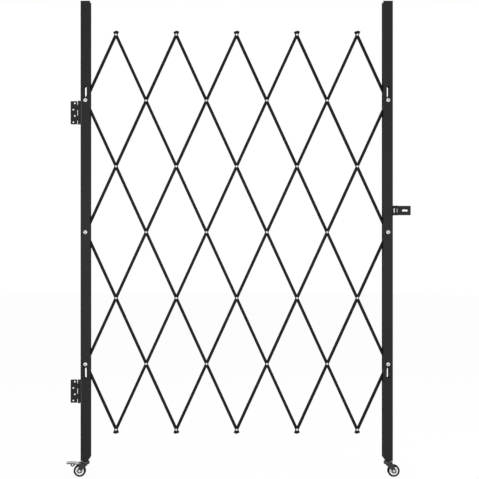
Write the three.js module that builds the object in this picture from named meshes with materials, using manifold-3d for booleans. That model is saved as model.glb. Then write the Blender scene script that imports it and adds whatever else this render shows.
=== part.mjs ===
// Folding security gate: two channel posts joined by a riveted scissor lattice, hung on two hinges,
// with a hasp and two swivel casters. Millimetres, +Z up, the front faces -Y and the wheels stand on Z = 0.
import * as THREE from 'three';
import { mergeVertices } from 'three/addons/utils/BufferGeometryUtils.js';
import Module from 'manifold-3d';

const wasm = await Module();
wasm.setup();

// Clearances, and how far joined shapes run into each other
const SEAT_GAP = 0.3;
const RUNNING_GAP = 0.3;
const SLOT_GAP = 0.5;
const SWING_GAP = 0.5;
const OVERLAP = 0.4;
const CUT = 1;

// Lattice
const RIVET_PITCH = 300;
const COLUMN_PITCH = 125;
const FOLDED_COLUMN_PITCH = 22;
const COLUMNS = 10;
const ROWS = 6;
const BAR_WIDTH = 12.4;
const BAR_DEPTH = 6;
const BAR_WALL = 1.3;
const BAR_CORNER = 1.6;
const BAR_END = 16.5;
const RIVET_RADIUS = 2.5;
const RIVET_HOLE_RADIUS = 3.2;
const RIVET_HEAD_RADIUS = 4.5;
const RIVET_HEAD_HEIGHT = 2;
const RIVET_TAIL_RADIUS = 4.1;
const RIVET_TAIL_HEIGHT = 1.8;

// Posts, with heights counted from their lower ends
const POST_LENGTH = 1900;
const POST_WIDTH = 40;
const POST_DEPTH = 38;
const POST_WALL = 1.8;
const POST_CORNER = 3;
const POST_CLIP = 12;
const MIDDLE_PIN_HEIGHT = 944.5;

// Post pins, which carry the lattice in the posts
const PIN_RADIUS = 5;
const PIN_NECK_RADIUS = 3.2;
const PIN_SLEEVE_RADIUS = 6.5;
const PIN_HEAD_RADIUS = 8.1;
const PIN_HEAD_HEIGHT = 2.6;
const PIN_TAIL_RADIUS = 7;
const PIN_TAIL_HEIGHT = 2;
const PIN_DIMPLE_RADIUS = 2.6;
const PIN_DIMPLE_DEPTH = 1.6;

// Hinges on the left post
const LOWER_HINGE_HEIGHT = 288;
const UPPER_HINGE_HEIGHT = 1438;
const HINGE_LENGTH = 96;
const HINGE_KNUCKLES = 5;
const HINGE_END_KNUCKLE = 15.5;
const HINGE_BARREL_RADIUS = 4;
const HINGE_PIN_RADIUS = 2.2;
const HINGE_PIN_RIM = 1;
const HINGE_PIN_HEAD = 1.5;
const WALL_LEAF_WIDTH = 32.5;
const WALL_LEAF_THICKNESS = 2.5;
const WALL_LEAF_RELIEF = 3.5;
const WALL_LEAF_CORNER = 3;
const WALL_HOLES = 4;
const WALL_HOLE_RADIUS = 3.8;
const WALL_HOLE_PITCH = 26;
const WALL_HOLE_EDGE = 13.5;
const WALL_HOLE_STAGGER = 6.2;
const POST_LEAF_THICKNESS = 2;
const POST_LEAF_LEG = 24;
const POST_LEAF_RETURN = 8;
const POST_LEAF_RIVET_SPACING = 48;

// Rivets that hold the post leaves and the hasp base on the posts' webs
const PLATE_RIVET_RADIUS = 2.5;
const PLATE_RIVET_HEAD_RADIUS = 4.5;
const PLATE_RIVET_HEAD_HEIGHT = 1.6;
const PLATE_RIVET_EDGE = 15;

// Hasp on the right post
const HASP_HEIGHT = 1034;
const HASP_PIN_REACH = 14;
const HASP_PIN_FORWARD = 3;
const HASP_BARREL_RADIUS = 6.5;
const HASP_PIN_RADIUS = 4;
const HASP_PIN_RIM = 0.8;
const HASP_PIN_HEAD = 0.8;
const HASP_BASE_TALL = 41;
const HASP_BASE_THICKNESS = 2;
const HASP_BASE_LEG = 27;
const HASP_BASE_TAPER = 4;
const HASP_WINDOW_EDGE = 3.8;
const HASP_RIVET_SPACING = 24;
const HASP_LEAF_TALL = 39;
const HASP_LEAF_REACH = 73;
const HASP_LEAF_THICKNESS = 2.5;
const HASP_LEAF_CORNER = 2.5;
const HASP_KNUCKLE_TALL = 17;
const HASP_KNUCKLE_GAP = 1;
const HASP_CURL_REACH = 8;
const HASP_CURL_THICKNESS = 1.4;
const HASP_SLOT_LENGTH = 23.5;
const HASP_SLOT_WIDTH = 8;
const HASP_SLOT_EDGE = 12.5;

// Casters, with heights counted from the floor and lengths from the swivel axis towards the wheel
const WHEEL_RADIUS = 25;
const WHEEL_TRAIL = 25;
const TYRE_WIDTH = 19;
const TYRE_WALL = 7.2;
const TYRE_ROUND = 2.4;
const HUB_WIDTH = 17;
const HUB_RIM = 2.6;
const HUB_WEB = 5;
const HUB_BOSS_RADIUS = 9;
const BUSH_WALL = 0.9;
const AXLE_RADIUS = 4;
const AXLE_HEAD_RADIUS = 5.4;
const AXLE_HEAD_HEIGHT = 3.4;
const AXLE_NUT_RADIUS = 7;
const AXLE_NUT_HEIGHT = 5;
const AXLE_THREAD_END = 1.2;
const FORK_SIDE_GAP = 1.5;
const FORK_WALL = 2;
const FORK_TOP = 55;
const FORK_TOE = 20.5;
const FORK_HEEL = 14;
const FORK_SHOULDER = 8;
const FORK_END_RADIUS = 10;
const FORK_BEND_LENGTH = 27.5;
const FORK_BEND_HEIGHT = 45;
const FORK_LIP_WALL = 3.4;
const FORK_LIP_WIDTH = 18;
const FORK_LIP_HEIGHT = 6.5;
const RACE_RADIUS = 13.4;
const RACE_HEIGHT = 2.8;
const CUP_RADIUS = 16;
const CUP_WALL = 1.6;
const CUP_NECK_RADIUS = 12;
const CUP_SKIRT = 1.5;
const CUP_HEIGHT = 11.1;
const STEM_RADIUS = 5;
const STEM_LENGTH = 37;
const STEM_HEAD_RADIUS = 8;
const STEM_HEAD_HEIGHT = 2.6;
const STEM_NUT_RADIUS = 9.2;
const STEM_NUT_HEIGHT = 8;
const FOOT_WALL = 2.5;
const FOOT_TALL = 34;
const FOOT_FRONT = 8.5;

// Foot brake on the left caster, in the same lengths and heights
const PEDAL_PIVOT_LENGTH = 24;
const PEDAL_PIVOT_HEIGHT = 54.5;
const PEDAL_PIN_RADIUS = 2;
const PEDAL_PIN_HEAD_RADIUS = 3.4;
const PEDAL_PIN_HEAD_HEIGHT = 1.4;
const PEDAL_LUG_RADIUS = 4.5;
const PEDAL_REACH = 80;
const PEDAL_WIDTH = 39;
const PEDAL_SHEET = 2;
const PEDAL_HEIGHT = 58.5;
const PEDAL_NECK_END = 40;
const PEDAL_FLARE = 5;
const PEDAL_TOE_DROP = 4.5;
const LOOP_LENGTH = 54;
const LOOP_HEIGHT = 54;
const LOOP_RADIUS = 9.5;
const LOOP_HOLE_RADIUS = 4.6;
const SHOE_LENGTH = 33;
const SHOE_WIDTH = 15;
const SHOE_BOTTOM = 51.3;

// Facets round a full turn of each kind of round shape, and along a quarter of a bend
const WHEEL_FACETS = 24;
const HUB_FACETS = 20;
const ROUND_FACETS = 16;
const PIN_FACETS = 12;
const SMALL_FACETS = 10;
const RIVET_FACETS = 8;
const HEX = 6;
const BEND_FACETS = 3;

// Values that follow from the sizes above
const REST_ANGLE = Math.asin(COLUMN_PITCH / RIVET_PITCH);
const FOLDED_ANGLE = Math.asin(FOLDED_COLUMN_PITCH / RIVET_PITCH);
const ROW_PITCH = RIVET_PITCH * Math.cos(REST_ANGLE);
const PIN_SPACING = 2 * ROW_PITCH;
const SLOT_TRAVEL = 2 * RIVET_PITCH * (Math.cos(FOLDED_ANGLE) - Math.cos(REST_ANGLE));
const GATE_HALF = COLUMNS * COLUMN_PITCH / 2;
const FORK_HALF = TYRE_WIDTH / 2 + FORK_SIDE_GAP;
const CUP_BOTTOM = FORK_TOP + RACE_HEIGHT + SEAT_GAP - CUP_SKIRT;
const CUP_TOP = CUP_BOTTOM + CUP_HEIGHT;
const POST_BASE = CUP_TOP + SEAT_GAP;
const MIDDLE_HEIGHT = POST_BASE + MIDDLE_PIN_HEIGHT;
const WEB_FACE = POST_WIDTH / 2;
const FRONT_FACE = -POST_DEPTH / 2;
const FLANGE_INSIDE = POST_DEPTH / 2 - POST_WALL;
const BAR_FRONT = -BAR_DEPTH - SEAT_GAP / 2;
const BAR_BACK = BAR_DEPTH + SEAT_GAP / 2;

// Hinge places, in a post's frame: x = 0 on its pin line and y = 0 at its mid-depth
const HINGE_WEB = -WEB_FACE - SEAT_GAP - POST_LEAF_THICKNESS;
const HINGE_AXIS_X = HINGE_WEB - SWING_GAP - HINGE_BARREL_RADIUS;
const HINGE_AXIS_Y = FRONT_FACE;
const RETURN_FACE = FRONT_FACE - SEAT_GAP - POST_LEAF_THICKNESS;
const WALL_LEAF_FACE = 2 * HINGE_AXIS_Y - RETURN_FACE + 2 * SWING_GAP;
const WALL_LEAF_BACK = WALL_LEAF_FACE + WALL_LEAF_THICKNESS;
const HINGE_MIDDLE_KNUCKLE = (HINGE_LENGTH - 2 * HINGE_END_KNUCKLE) / (HINGE_KNUCKLES - 2);
const HINGE_RIVET_Y = RETURN_FACE + PLATE_RIVET_EDGE;

// Hasp places, in the right post's frame with +X pointing away from the lattice
const HASP_AXIS_X = WEB_FACE + HASP_PIN_REACH;
const HASP_AXIS_Y = FRONT_FACE - HASP_PIN_FORWARD;
const HASP_WEB = WEB_FACE + SEAT_GAP + HASP_BASE_THICKNESS;
const HASP_RIVET_Y = FRONT_FACE + PLATE_RIVET_EDGE;

// Finishes
const blackCoat = new THREE.MeshStandardMaterial({ color: 0x2f2f30, roughness: 0.5, metalness: 0.2 });
const barCoat = new THREE.MeshStandardMaterial({ color: 0x222223, roughness: 0.45, metalness: 0.2 });
const brightZinc = new THREE.MeshStandardMaterial({ color: 0xd2d3d1, roughness: 0.3, metalness: 0.9 });
const darkZinc = new THREE.MeshStandardMaterial({ color: 0x6a6b6c, roughness: 0.45, metalness: 0.7 });
const forkCoat = new THREE.MeshStandardMaterial({ color: 0x434344, roughness: 0.5, metalness: 0.4 });
const hubPlastic = new THREE.MeshStandardMaterial({ color: 0xe4e4e2, roughness: 0.5, metalness: 0 });
const tyreRubber = new THREE.MeshStandardMaterial({ color: 0x1a1a1a, roughness: 0.8, metalness: 0 });
const bushBronze = new THREE.MeshStandardMaterial({ color: 0xb59a5b, roughness: 0.4, metalness: 0.9 });

// A closed geometry as a solid that can be joined and cut
function solid(geometry) {
  const bare = geometry.clone();
  bare.deleteAttribute('normal');
  bare.deleteAttribute('uv');
  const merged = mergeVertices(bare, 1e-4);
  return new wasm.Manifold(new wasm.Mesh({
    numProp: 3,
    vertProperties: new Float32Array(merged.attributes.position.array),
    triVerts: new Uint32Array(merged.index.array),
  }));
}

function joined(...solids) {
  return solids.reduce((whole, piece) => whole.add(piece));
}

function without(whole, ...cuts) {
  return cuts.reduce((rest, cut) => rest.subtract(cut), whole);
}

function named(name, shape, material) {
  const { vertProperties, triVerts } = shape.getMesh();
  const geometry = new THREE.BufferGeometry();
  geometry.setAttribute('position', new THREE.BufferAttribute(new Float32Array(vertProperties), 3));
  geometry.setIndex(new THREE.BufferAttribute(new Uint32Array(triVerts), 1));
  geometry.computeVertexNormals();
  const mesh = new THREE.Mesh(geometry, material);
  mesh.name = name;
  return mesh;
}

function block(x0, x1, y0, y1, z0, z1) {
  const box = new THREE.BoxGeometry(x1 - x0, y1 - y0, z1 - z0);
  return solid(box.translate((x0 + x1) / 2, (y0 + y1) / 2, (z0 + z1) / 2));
}

// An upright round bar from z0 to z1, centred on x, y
function upright(radius, z0, z1, facets, x = 0, y = 0) {
  const cylinder = new THREE.CylinderGeometry(radius, radius, z1 - z0, facets).rotateX(Math.PI / 2);
  return solid(cylinder.translate(x, y, (z0 + z1) / 2));
}

// A round bar that runs from front to back, centred on x, z
function crosswise(radius, y0, y1, facets, x = 0, z = 0) {
  const cylinder = new THREE.CylinderGeometry(radius, radius, y1 - y0, facets);
  return solid(cylinder.translate(x, (y0 + y1) / 2, z));
}

// A round bar that runs from left to right, centred on y, z
function sideways(radius, x0, x1, facets, y, z) {
  const cylinder = new THREE.CylinderGeometry(radius, radius, x1 - x0, facets).rotateZ(Math.PI / 2);
  return solid(cylinder.translate((x0 + x1) / 2, y, z));
}

// A turned shape with its axis from front to back, from a profile of radius and place along +Y
function turnedCrosswise(profile, facets) {
  const points = profile.map(([radius, place]) => new THREE.Vector2(radius, place));
  return solid(new THREE.LatheGeometry(points, facets));
}

// The same turned shape with its axis upright
function turnedUpright(profile, facets) {
  return turnedCrosswise(profile, facets).rotate([90, 0, 0]);
}

// A flat outline in X and Y, raised from z0 to z1
function raised(outline, z0, z1, facets = BEND_FACETS) {
  const options = { depth: z1 - z0, bevelEnabled: false, curveSegments: facets };
  return solid(new THREE.ExtrudeGeometry(outline, options).translate(0, 0, z0));
}

// A flat outline in X and Z, as a plate from y0 to y1
function plate(outline, y0, y1, facets = BEND_FACETS) {
  const options = { depth: y1 - y0, bevelEnabled: false, curveSegments: facets };
  return solid(new THREE.ExtrudeGeometry(outline, options).rotateX(Math.PI / 2).translate(0, y1, 0));
}

function polygon(points) {
  return new THREE.Shape(points.map(([x, y]) => new THREE.Vector2(x, y)));
}

// A rectangle with one radius for its low-x corners and one for its high-x corners
function roundedRectangle(x0, x1, z0, z1, lowRadius, highRadius) {
  const outline = new THREE.Shape();
  outline.moveTo(x0 + lowRadius, z0);
  outline.lineTo(x1 - highRadius, z0);
  if (highRadius > 0) outline.absarc(x1 - highRadius, z0 + highRadius, highRadius, -Math.PI / 2, 0);
  outline.lineTo(x1, z1 - highRadius);
  if (highRadius > 0) outline.absarc(x1 - highRadius, z1 - highRadius, highRadius, 0, Math.PI / 2);
  outline.lineTo(x0 + lowRadius, z1);
  if (lowRadius > 0) outline.absarc(x0 + lowRadius, z1 - lowRadius, lowRadius, Math.PI / 2, Math.PI);
  outline.lineTo(x0, z0 + lowRadius);
  if (lowRadius > 0) outline.absarc(x0 + lowRadius, z0 + lowRadius, lowRadius, Math.PI, 1.5 * Math.PI);
  return outline;
}

// A long hole with round ends between two points of a flat outline
function longHole(x0, z0, x1, z1, radius) {
  const along = Math.atan2(z1 - z0, x1 - x0);
  const outline = new THREE.Shape();
  outline.absarc(x1, z1, radius, along - Math.PI / 2, along + Math.PI / 2);
  outline.absarc(x0, z0, radius, along + Math.PI / 2, along + 1.5 * Math.PI);
  return outline;
}

// A U channel in X and Y: its web lies at y0 and its flanges point to y1
function channelOutline(width, y0, y1, wall, corner) {
  const half = width / 2;
  const outline = new THREE.Shape();
  outline.absarc(corner - half, y0 + corner, corner, Math.PI, 1.5 * Math.PI);
  outline.absarc(half - corner, y0 + corner, corner, 1.5 * Math.PI, 2 * Math.PI);
  outline.lineTo(half, y1);
  outline.lineTo(half - wall, y1);
  outline.lineTo(half - wall, y0 + wall);
  outline.lineTo(wall - half, y0 + wall);
  outline.lineTo(wall - half, y1);
  outline.lineTo(-half, y1);
  return outline;
}

// A lattice rivet at a height on its bar: domed head on the front bar's web, shank, and a tail that
// is set behind the back bar's web
function latticeRivet(height) {
  const tail = SEAT_GAP / 2 + BAR_WALL + SEAT_GAP;
  const head = turnedCrosswise([
    [0, BAR_FRONT - RIVET_HEAD_HEIGHT],
    [0.7 * RIVET_HEAD_RADIUS, BAR_FRONT - 0.75 * RIVET_HEAD_HEIGHT],
    [RIVET_HEAD_RADIUS, BAR_FRONT + OVERLAP],
    [0, BAR_FRONT + OVERLAP],
  ], RIVET_FACETS);
  const shank = turnedCrosswise([
    [0, BAR_FRONT],
    [RIVET_RADIUS, BAR_FRONT],
    [RIVET_RADIUS, tail],
    [RIVET_TAIL_RADIUS, tail],
    [0, tail + RIVET_TAIL_HEIGHT],
  ], HEX);
  return joined(head, shank).translate([0, 0, height]);
}

// One lattice bar along +Z, with its first rivet place at the origin. Front bars carry the rivets, back
// bars have holes for them, and every bar has a wider hole where a post pin goes through.
function latticeBar(name, isFront, spans, pinSpans) {
  const y0 = isFront ? BAR_FRONT : SEAT_GAP / 2;
  const outline = channelOutline(BAR_WIDTH, y0, y0 + BAR_DEPTH, BAR_WALL, BAR_CORNER);
  const reach = [y0 - CUT, y0 + BAR_WALL + CUT];
  const hole = (radius, height, facets) => crosswise(radius, ...reach, facets, 0, height);
  let bar = raised(outline, -BAR_END, spans * RIVET_PITCH + BAR_END, 1);
  for (let span = 0; span <= spans; span += 1) {
    const height = span * RIVET_PITCH;
    if (pinSpans.includes(span)) {
      bar = without(bar, hole(PIN_NECK_RADIUS + RUNNING_GAP, height, PIN_FACETS));
    } else if (isFront) {
      bar = joined(bar, latticeRivet(height));
    } else {
      bar = without(bar, hole(RIVET_HOLE_RADIUS, height, HEX));
    }
  }
  return named(name, bar, barCoat);
}

// The lattice: front bars rise to the right and back bars fall to the right. Crossings lie where the sum
// of column and row is odd, and those of the first and last column hold the post pins.
function lattice() {
  const group = new THREE.Group();
  const place = (mesh, column, row, angle) => {
    mesh.position.set(column * COLUMN_PITCH - GATE_HALF, 0, MIDDLE_HEIGHT + (row - ROWS / 2) * ROW_PITCH);
    mesh.rotation.y = angle;
    group.add(mesh);
  };
  let count = 0;
  for (let lead = 1 - ROWS; lead < COLUMNS; lead += 2) {
    const first = Math.max(0, lead);
    const spans = Math.min(COLUMNS, lead + ROWS) - first;
    const pinSpans = [0, spans].filter((span) => (first + span) % COLUMNS === 0);
    count += 1;
    place(latticeBar(`rising_bar_${count}`, true, spans, pinSpans), first, first - lead, REST_ANGLE);
  }
  count = 0;
  for (let sum = 1; sum < COLUMNS + ROWS; sum += 2) {
    const first = Math.min(COLUMNS, sum);
    const spans = first - Math.max(0, sum - ROWS);
    const pinSpans = [0, spans].filter((span) => (first - span) % COLUMNS === 0);
    count += 1;
    place(latticeBar(`falling_bar_${count}`, false, spans, pinSpans), first, sum - first, -REST_ANGLE);
  }
  return group;
}

// A post pin from front to back: dimpled head, shank in the flange, sleeve, neck through both bars, and
// the same again behind, where the tail is riveted over
function postPin(name) {
  const face = POST_DEPTH / 2 + SEAT_GAP;
  const sleeve = FLANGE_INSIDE - SEAT_GAP;
  const neck = BAR_BACK + SEAT_GAP;
  const pin = turnedCrosswise([
    [0, PIN_DIMPLE_DEPTH - PIN_HEAD_HEIGHT - face],
    [PIN_DIMPLE_RADIUS, -PIN_HEAD_HEIGHT - face],
    [PIN_HEAD_RADIUS, -0.4 * PIN_HEAD_HEIGHT - face],
    [PIN_HEAD_RADIUS, -face],
    [PIN_RADIUS, -face],
    [PIN_RADIUS, -sleeve],
    [PIN_SLEEVE_RADIUS, -sleeve],
    [PIN_SLEEVE_RADIUS, -neck],
    [PIN_NECK_RADIUS, -neck],
    [PIN_NECK_RADIUS, neck],
    [PIN_SLEEVE_RADIUS, neck],
    [PIN_SLEEVE_RADIUS, sleeve],
    [PIN_RADIUS, sleeve],
    [PIN_RADIUS, face],
    [PIN_TAIL_RADIUS, face],
    [0, face + PIN_TAIL_HEIGHT],
  ], SMALL_FACETS);
  return named(name, pin, brightZinc);
}

// The three pins of one post: the middle one stays, the others slide in the slots as the lattice folds
function postPins(side) {
  const pins = [`${side}_lower_slide_pin`, `${side}_middle_pin`, `${side}_upper_slide_pin`].map(postPin);
  pins.forEach((pin, index) => pin.position.set(0, 0, MIDDLE_PIN_HEIGHT + (index - 1) * PIN_SPACING));
  return pins;
}

// A post on its own pin line, open towards +X, with its lower end at z = 0 and rivet holes in its web
function postChannel(name, rivetHeights, rivetY) {
  const outline = channelOutline(POST_DEPTH, -WEB_FACE, WEB_FACE, POST_WALL, POST_CORNER);
  let post = raised(outline, 0, POST_LENGTH).rotate([0, 0, -90]);
  const reach = POST_DEPTH / 2 + CUT;
  const clip = polygon([
    [WEB_FACE + CUT, -CUT],
    [WEB_FACE + CUT, POST_CLIP + CUT],
    [WEB_FACE - POST_CLIP - CUT, -CUT],
  ]);
  const middleHole = crosswise(PIN_RADIUS + RUNNING_GAP, -reach, reach, ROUND_FACETS, 0, MIDDLE_PIN_HEIGHT);
  post = without(post, plate(clip, -reach, reach), middleHole);
  for (const side of [-1, 1]) {
    const inner = MIDDLE_PIN_HEIGHT + side * PIN_SPACING;
    const outer = inner + side * SLOT_TRAVEL;
    const slot = longHole(0, inner, 0, outer, PIN_RADIUS + SLOT_GAP);
    post = without(post, plate(slot, -reach, reach, PIN_FACETS / 2));
  }
  const web = [-WEB_FACE - CUT, POST_WALL + CUT - WEB_FACE];
  for (const height of rivetHeights) {
    const hole = sideways(PLATE_RIVET_RADIUS + SEAT_GAP, ...web, RIVET_FACETS, rivetY, height);
    post = without(post, hole);
  }
  return named(name, post, blackCoat);
}

// Foot bracket inside a post's lower end: a U with a hole for the caster's stem
function postFoot(name) {
  const half = FLANGE_INSIDE - SEAT_GAP;
  const outline = polygon([
    [-half, 0],
    [half, 0],
    [half, FOOT_TALL],
    [half - FOOT_WALL, FOOT_TALL],
    [half - FOOT_WALL, FOOT_WALL],
    [FOOT_WALL - half, FOOT_WALL],
    [FOOT_WALL - half, FOOT_TALL],
    [-half, FOOT_TALL],
  ]);
  const bracket = plate(outline, POST_WALL + SEAT_GAP - WEB_FACE, FOOT_FRONT).rotate([0, 0, -90]);
  const hole = upright(STEM_RADIUS + SEAT_GAP, -CUT, FOOT_WALL + CUT, ROUND_FACETS);
  return named(name, without(bracket, hole), darkZinc);
}

// A rivet that holds a plate on a post's web at low x: outer head, shank and inner head
function plateRivet(x, thickness, y, z) {
  const inside = x + thickness + POST_WALL + 2 * SEAT_GAP;
  const head = PLATE_RIVET_HEAD_HEIGHT;
  return joined(
    sideways(PLATE_RIVET_HEAD_RADIUS, x - head, x + OVERLAP, RIVET_FACETS, y, z),
    sideways(PLATE_RIVET_RADIUS, x, inside + OVERLAP, RIVET_FACETS, y, z),
    sideways(PLATE_RIVET_HEAD_RADIUS, inside, inside + head, RIVET_FACETS, y, z),
  );
}

// The height between a hinge's inner knuckle and the one below it. The two end knuckles are shorter.
function knuckleEdge(index) {
  return HINGE_END_KNUCKLE - HINGE_LENGTH / 2 + (index - 1) * HINGE_MIDDLE_KNUCKLE;
}

// One leaf's hinge knuckles with the sheet that joins each to its leaf. The leaf takes every second one.
function hingeKnuckles(first, sheet) {
  const pieces = [];
  for (let index = first; index < HINGE_KNUCKLES; index += 2) {
    const z0 = index === 0 ? -HINGE_LENGTH / 2 : knuckleEdge(index) + SEAT_GAP / 2;
    const z1 = index === HINGE_KNUCKLES - 1 ? HINGE_LENGTH / 2 : knuckleEdge(index + 1) - SEAT_GAP / 2;
    pieces.push(upright(HINGE_BARREL_RADIUS, z0, z1, SMALL_FACETS, HINGE_AXIS_X, HINGE_AXIS_Y));
    pieces.push(sheet(z0, z1));
  }
  return joined(...pieces);
}

function hingeBore() {
  const radius = HINGE_PIN_RADIUS + RUNNING_GAP;
  return upright(radius, -HINGE_LENGTH, HINGE_LENGTH, SMALL_FACETS, HINGE_AXIS_X, HINGE_AXIS_Y);
}

// The post leaf wraps the post's outer front corner: a riveted leg along the web and a short return
function postLeaf(name) {
  const half = HINGE_LENGTH / 2;
  const front = [RETURN_FACE, RETURN_FACE + POST_LEAF_THICKNESS];
  const web = [HINGE_WEB, HINGE_WEB + POST_LEAF_THICKNESS];
  const leg = block(...web, RETURN_FACE, RETURN_FACE + POST_LEAF_LEG, -half, half);
  const lip = block(HINGE_WEB, HINGE_WEB + POST_LEAF_RETURN, ...front, -half, half);
  const sheet = (z0, z1) => block(HINGE_AXIS_X, HINGE_WEB + OVERLAP, ...front, z0, z1);
  let leaf = without(joined(leg, lip, hingeKnuckles(0, sheet)), hingeBore());
  for (const side of [-0.5, 0.5]) {
    const height = side * POST_LEAF_RIVET_SPACING;
    leaf = joined(leaf, plateRivet(HINGE_WEB, POST_LEAF_THICKNESS, HINGE_RIVET_Y, height));
  }
  return named(name, leaf, blackCoat);
}

// The wall leaf lies flat on the wall beside the opening, with screw holes in a zigzag
function wallLeaf(name) {
  const outer = HINGE_AXIS_X - WALL_LEAF_WIDTH;
  const inner = HINGE_AXIS_X - HINGE_BARREL_RADIUS - WALL_LEAF_RELIEF;
  const half = HINGE_LENGTH / 2;
  const depth = [WALL_LEAF_FACE, WALL_LEAF_BACK];
  const main = plate(roundedRectangle(outer, inner, -half, half, WALL_LEAF_CORNER, 0), ...depth);
  const sheet = (z0, z1) => block(inner - OVERLAP, HINGE_AXIS_X, ...depth, z0, z1);
  let leaf = without(joined(main, hingeKnuckles(1, sheet)), hingeBore());
  for (let hole = 0; hole < WALL_HOLES; hole += 1) {
    const x = outer + WALL_HOLE_EDGE + (hole % 2 - 0.5) * WALL_HOLE_STAGGER;
    const z = (hole - (WALL_HOLES - 1) / 2) * WALL_HOLE_PITCH;
    leaf = without(leaf, crosswise(WALL_HOLE_RADIUS, depth[0] - CUT, depth[1] + CUT, SMALL_FACETS, x, z));
  }
  return named(name, leaf, blackCoat);
}

// A pin with a low head at each end, for a hinge or the hasp
function headedPin(name, radius, rim, head, half) {
  const pin = turnedUpright([
    [0, -half - head],
    [radius + rim, -half - 0.5 * head],
    [radius + rim, -half],
    [radius, -half],
    [radius, half],
    [radius + rim, half],
    [radius + rim, half + 0.5 * head],
    [0, half + head],
  ], PIN_FACETS);
  return named(name, pin, darkZinc);
}

function hinge(where) {
  const group = new THREE.Group();
  const half = HINGE_LENGTH / 2 + SEAT_GAP;
  const pin = headedPin(`${where}_hinge_pin`, HINGE_PIN_RADIUS, HINGE_PIN_RIM, HINGE_PIN_HEAD, half);
  pin.position.set(HINGE_AXIS_X, HINGE_AXIS_Y, 0);
  group.add(wallLeaf(`${where}_wall_leaf`), postLeaf(`${where}_post_leaf`), pin);
  return group;
}

// Hasp barrel pieces, between two heights
function haspBarrel(z0, z1) {
  return upright(HASP_BARREL_RADIUS, z0, z1, SMALL_FACETS, HASP_AXIS_X, HASP_AXIS_Y);
}

function haspBore() {
  const radius = HASP_PIN_RADIUS + RUNNING_GAP;
  return upright(radius, -HASP_BASE_TALL, HASP_BASE_TALL, SMALL_FACETS, HASP_AXIS_X, HASP_AXIS_Y);
}

// The hasp base: a riveted leg along the web, bent into a nose whose two arms end in knuckles
function haspBase(name) {
  const tall = HASP_BASE_TALL / 2;
  const arm = HASP_LEAF_TALL / 2;
  const window = HASP_KNUCKLE_TALL / 2 + SEAT_GAP;
  const taper = HASP_WEB + HASP_BASE_TAPER;
  const windowEdge = WEB_FACE + HASP_WINDOW_EDGE;
  const start = WEB_FACE + SEAT_GAP;
  const nose = polygon([
    [start, -tall],
    [HASP_WEB, -tall],
    [taper, -arm],
    [HASP_AXIS_X, -arm],
    [HASP_AXIS_X, -window],
    [windowEdge, -window],
    [windowEdge, window],
    [HASP_AXIS_X, window],
    [HASP_AXIS_X, arm],
    [taper, arm],
    [HASP_WEB, tall],
    [start, tall],
  ]);
  let base = joined(
    block(start, HASP_WEB, FRONT_FACE, FRONT_FACE + HASP_BASE_LEG, -tall, tall),
    plate(nose, FRONT_FACE, FRONT_FACE + HASP_BASE_THICKNESS),
    haspBarrel(-arm, -window),
    haspBarrel(window, arm),
  );
  base = without(base, haspBore());
  for (const side of [-0.5, 0.5]) {
    const rivet = plateRivet(-HASP_WEB, HASP_BASE_THICKNESS, -HASP_RIVET_Y, side * HASP_RIVET_SPACING);
    base = joined(base, rivet.rotate([0, 0, 180]));
  }
  return named(name, base, blackCoat);
}

// The hasp leaf: a flat leaf with a long slot for the staple and a rolled centre knuckle
function haspLeaf(name) {
  const knuckle = HASP_KNUCKLE_TALL / 2;
  const start = HASP_AXIS_X + HASP_BARREL_RADIUS + HASP_KNUCKLE_GAP;
  const end = WEB_FACE + HASP_LEAF_REACH;
  const back = FRONT_FACE + HASP_LEAF_THICKNESS;
  const half = HASP_LEAF_TALL / 2;
  const radius = HASP_SLOT_WIDTH / 2;
  const slotEnd = end - HASP_SLOT_EDGE - radius;
  const slotStart = slotEnd - HASP_SLOT_LENGTH + HASP_SLOT_WIDTH;
  const curlEnd = HASP_AXIS_X + HASP_CURL_REACH;
  const curlFace = FRONT_FACE - HASP_CURL_THICKNESS;
  const leaf = joined(
    plate(roundedRectangle(start, end, -half, half, 0, HASP_LEAF_CORNER), FRONT_FACE, back),
    block(HASP_AXIS_X, start + OVERLAP, FRONT_FACE, back, -knuckle, knuckle),
    block(HASP_AXIS_X, curlEnd, curlFace, FRONT_FACE + OVERLAP, -knuckle, knuckle),
    haspBarrel(-knuckle, knuckle),
  );
  const slot = longHole(slotStart, 0, slotEnd, 0, radius);
  const cut = plate(slot, FRONT_FACE - CUT, back + CUT, PIN_FACETS / 2);
  return named(name, without(leaf, haspBore(), cut), blackCoat);
}

function hasp() {
  const group = new THREE.Group();
  const half = HASP_LEAF_TALL / 2 + SEAT_GAP;
  const pin = headedPin('hasp_pin', HASP_PIN_RADIUS, HASP_PIN_RIM, HASP_PIN_HEAD, half);
  pin.position.set(HASP_AXIS_X, HASP_AXIS_Y, 0);
  group.add(haspBase('hasp_base'), haspLeaf('hasp_leaf'), pin);
  return group;
}

// One side plate of a caster's fork, tapering from the crown to a round end at the axle
function forkLeg(way, y0, y1) {
  const upperTurn = Math.PI / 3;
  const lowerTurn = 1.18 * Math.PI;
  const outline = new THREE.Shape();
  outline.moveTo(way * -FORK_SHOULDER, FORK_TOP);
  outline.lineTo(way * FORK_TOE, FORK_TOP);
  outline.lineTo(way * FORK_BEND_LENGTH, FORK_BEND_HEIGHT);
  if (way > 0) {
    outline.absarc(WHEEL_TRAIL, WHEEL_RADIUS, FORK_END_RADIUS, upperTurn, lowerTurn, true);
  } else {
    const turns = [Math.PI - upperTurn, Math.PI - lowerTurn];
    outline.absarc(-WHEEL_TRAIL, WHEEL_RADIUS, FORK_END_RADIUS, ...turns, false);
  }
  outline.lineTo(way * -FORK_SHOULDER, FORK_TOP - FORK_WALL);
  return plate(outline, y0, y1, 2 * BEND_FACETS);
}

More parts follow.
